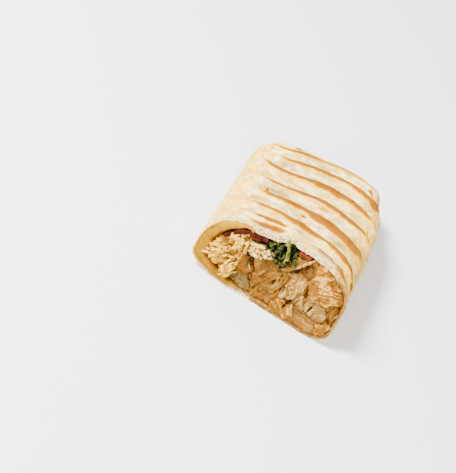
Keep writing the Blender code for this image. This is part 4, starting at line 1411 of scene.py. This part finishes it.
def small_things(tortilla_piece, chicken_pieces):
    recipe = Recipe()
    paints = {
        "shred": bpy.data.materials["chicken shred"],
        "golden": bpy.data.materials["chicken golden"],
        "flour": crumb_paint("flour fuzz", (255, 244, 176), (206, 168, 84)),
        "toast": crumb_paint("toasted crumbs", (190, 130, 30), (92, 54, 16)),
        "pepper": crumb_paint("pepper and herbs", (30, 20, 10), (44, 44, 14)),
        "crust": crumb_paint("pale crust", (255, 226, 130), (226, 170, 60)),
    }
    torn = [piece for piece in chicken_pieces if "shred" in piece.name or "white" in piece.name]
    chunks = [piece for piece in chicken_pieces if "chunk_right" in piece.name]
    copies = {
        "face": merged(chicken_pieces, "face"),
        "shreds": merged(torn, "shreds"),
        "crusted": merged(chunks, "crusted"),
    }
    units = {
        "wisp": wisp(paints["shred"], 1, 0.05),
        "shred": wisp(paints["shred"], 4, 0.1),
        "grain": grain(paints["toast"], 3),
    }
    grounds = {"tortilla": tortilla_piece, **copies}
    made = []
    for name, ground, slot, unit, paint, weight, density, seed, smallest, largest, spin in STREWN:
        choices = {
            "Unit": units[unit],
            "Paint": paints[paint],
            "Weight": weight,
            "Density": density * PER_SQUARE_MM,
            "Seed": seed,
            "Smallest": smallest * MM,
            "Largest": largest * MM,
            "Spin": spin,
        }
        made.append(recipe.strew(name, grounds[ground], slot, **choices))
    removed([*copies.values(), *units.values()])
    return made


# ---------------------------------------------------------------- the scene


def core(paint):
    """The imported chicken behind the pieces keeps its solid, with the finish of the rest."""
    # It carries no height number, so the finish paints it all in the dark hollow tone, a painted shade.
    solid = bpy.data.objects["chicken_core"]
    solid.data.materials.clear()
    solid.data.materials.append(paint)


def posed(name, data, axes, spot):
    """A camera or lamp with the given right, upward and backward axes."""
    obj = linked(name, data)
    matrix = np.eye(4)
    matrix[:3, :3] = np.array(axes).T
    matrix[:3, 3] = spot
    obj.matrix_world = Matrix(matrix.tolist())
    return obj


def camera():
    """The view: turned and tipped as the half lies there, from a metre away."""
    target = np.array([0.5, -22.5, 20.0]) * MM
    elevation, roll, away = math.radians(37), math.radians(29.5), 1.0
    frame_wide, frame_high, pixels_per_metre = 456, 473, 1800.0
    target_across, target_down = 290, 240  # where the target lies in the frame, in pixels
    back = np.array([0, -math.cos(elevation), math.sin(elevation)])
    right = np.array([1.0, 0, 0])
    up = np.cross(back, right)
    turned = math.cos(roll) * right + math.sin(roll) * up
    upward = -math.sin(roll) * right + math.cos(roll) * up
    axes = np.array([turned, upward, back])
    focal = pixels_per_metre * away
    ray = np.array([(target_across - frame_wide / 2) / focal, -(target_down - frame_high / 2) / focal, -1.0])
    ray /= np.linalg.norm(ray)
    ahead = np.array([0, 0, -1.0])
    axis = np.cross(ahead, ray)
    sine, cosine = np.linalg.norm(axis), ahead @ ray
    axis /= sine
    skew = np.array([[0, -axis[2], axis[1]], [axis[2], 0, -axis[0]], [-axis[1], axis[0], 0]])
    axes = (np.eye(3) + sine * skew + (1 - cosine) * skew @ skew) @ axes
    data = bpy.data.cameras.new("view")
    data.lens = focal * 36 / frame_high
    data.sensor_width = 36
    data.clip_end = 20
    bpy.context.scene.camera = posed("view", data, axes, target + back * away)


def lamp(name, spot, aim, size, watts, colour=(1, 1, 1)):
    data = bpy.data.lights.new(name, "AREA")
    data.shape, data.size, data.energy, data.color = "DISK", size, watts, colour
    spot, aim = np.array(spot), np.array(aim)
    back = (spot - aim) / np.linalg.norm(spot - aim)
    right = np.cross((0, 0, 1), back)
    right = right / np.linalg.norm(right)
    posed(name, data, (right, np.cross(back, right), back), spot)


def studio():
    floor_paint = Paint("pale floor", roughness=0.5)
    pale = floor_paint.mix(floor_paint.noise(0.4), shade(236, 236, 236), shade(240, 240, 240))
    corners = [(-3, -3, 0), (3, -3, 0), (3, 3, 0), (-3, 3, 0)]
    floor = new_object("floor", corners, [(0, 1, 2, 3)], floor_paint.finish(Base_Color=pale))
    world = bpy.data.worlds.new("studio")
    world.use_nodes = True
    world.node_tree.nodes["Background"].inputs["Color"].default_value = (1, 1, 1, 1)
    world.node_tree.nodes["Background"].inputs["Strength"].default_value = 1.35
    bpy.context.scene.world = world
    lamp("key", (-0.62, -0.12, 0.85), (0, 0, 0), 0.4, 50)
    lamp("fill", (0.1, -0.9, 0.5), (0, 0, 0.02), 0.5, 10)


def main():
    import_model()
    camera()
    studio()
    pieces = [tortilla(tortilla_paint())]
    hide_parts("tortilla")
    bacon = bacon_paint("fried bacon", shade(66, 19, 4), shade(102, 44, 10))
    red_bacon = bacon_paint("fried bacon red", shade(120, 46, 14), shade(150, 76, 24))
    pieces += linings(cheese_paint(), bacon, red_bacon)
    pieces += lettuce(lettuce_paint())
    chicken = filling()
    pieces += chicken
    pieces += small_things(pieces[0], [piece for piece in chicken if "loose" in piece.data.attributes])
    core(bpy.data.materials["chicken golden"])
    for piece in pieces:
        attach(piece, "root")
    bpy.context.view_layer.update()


main()
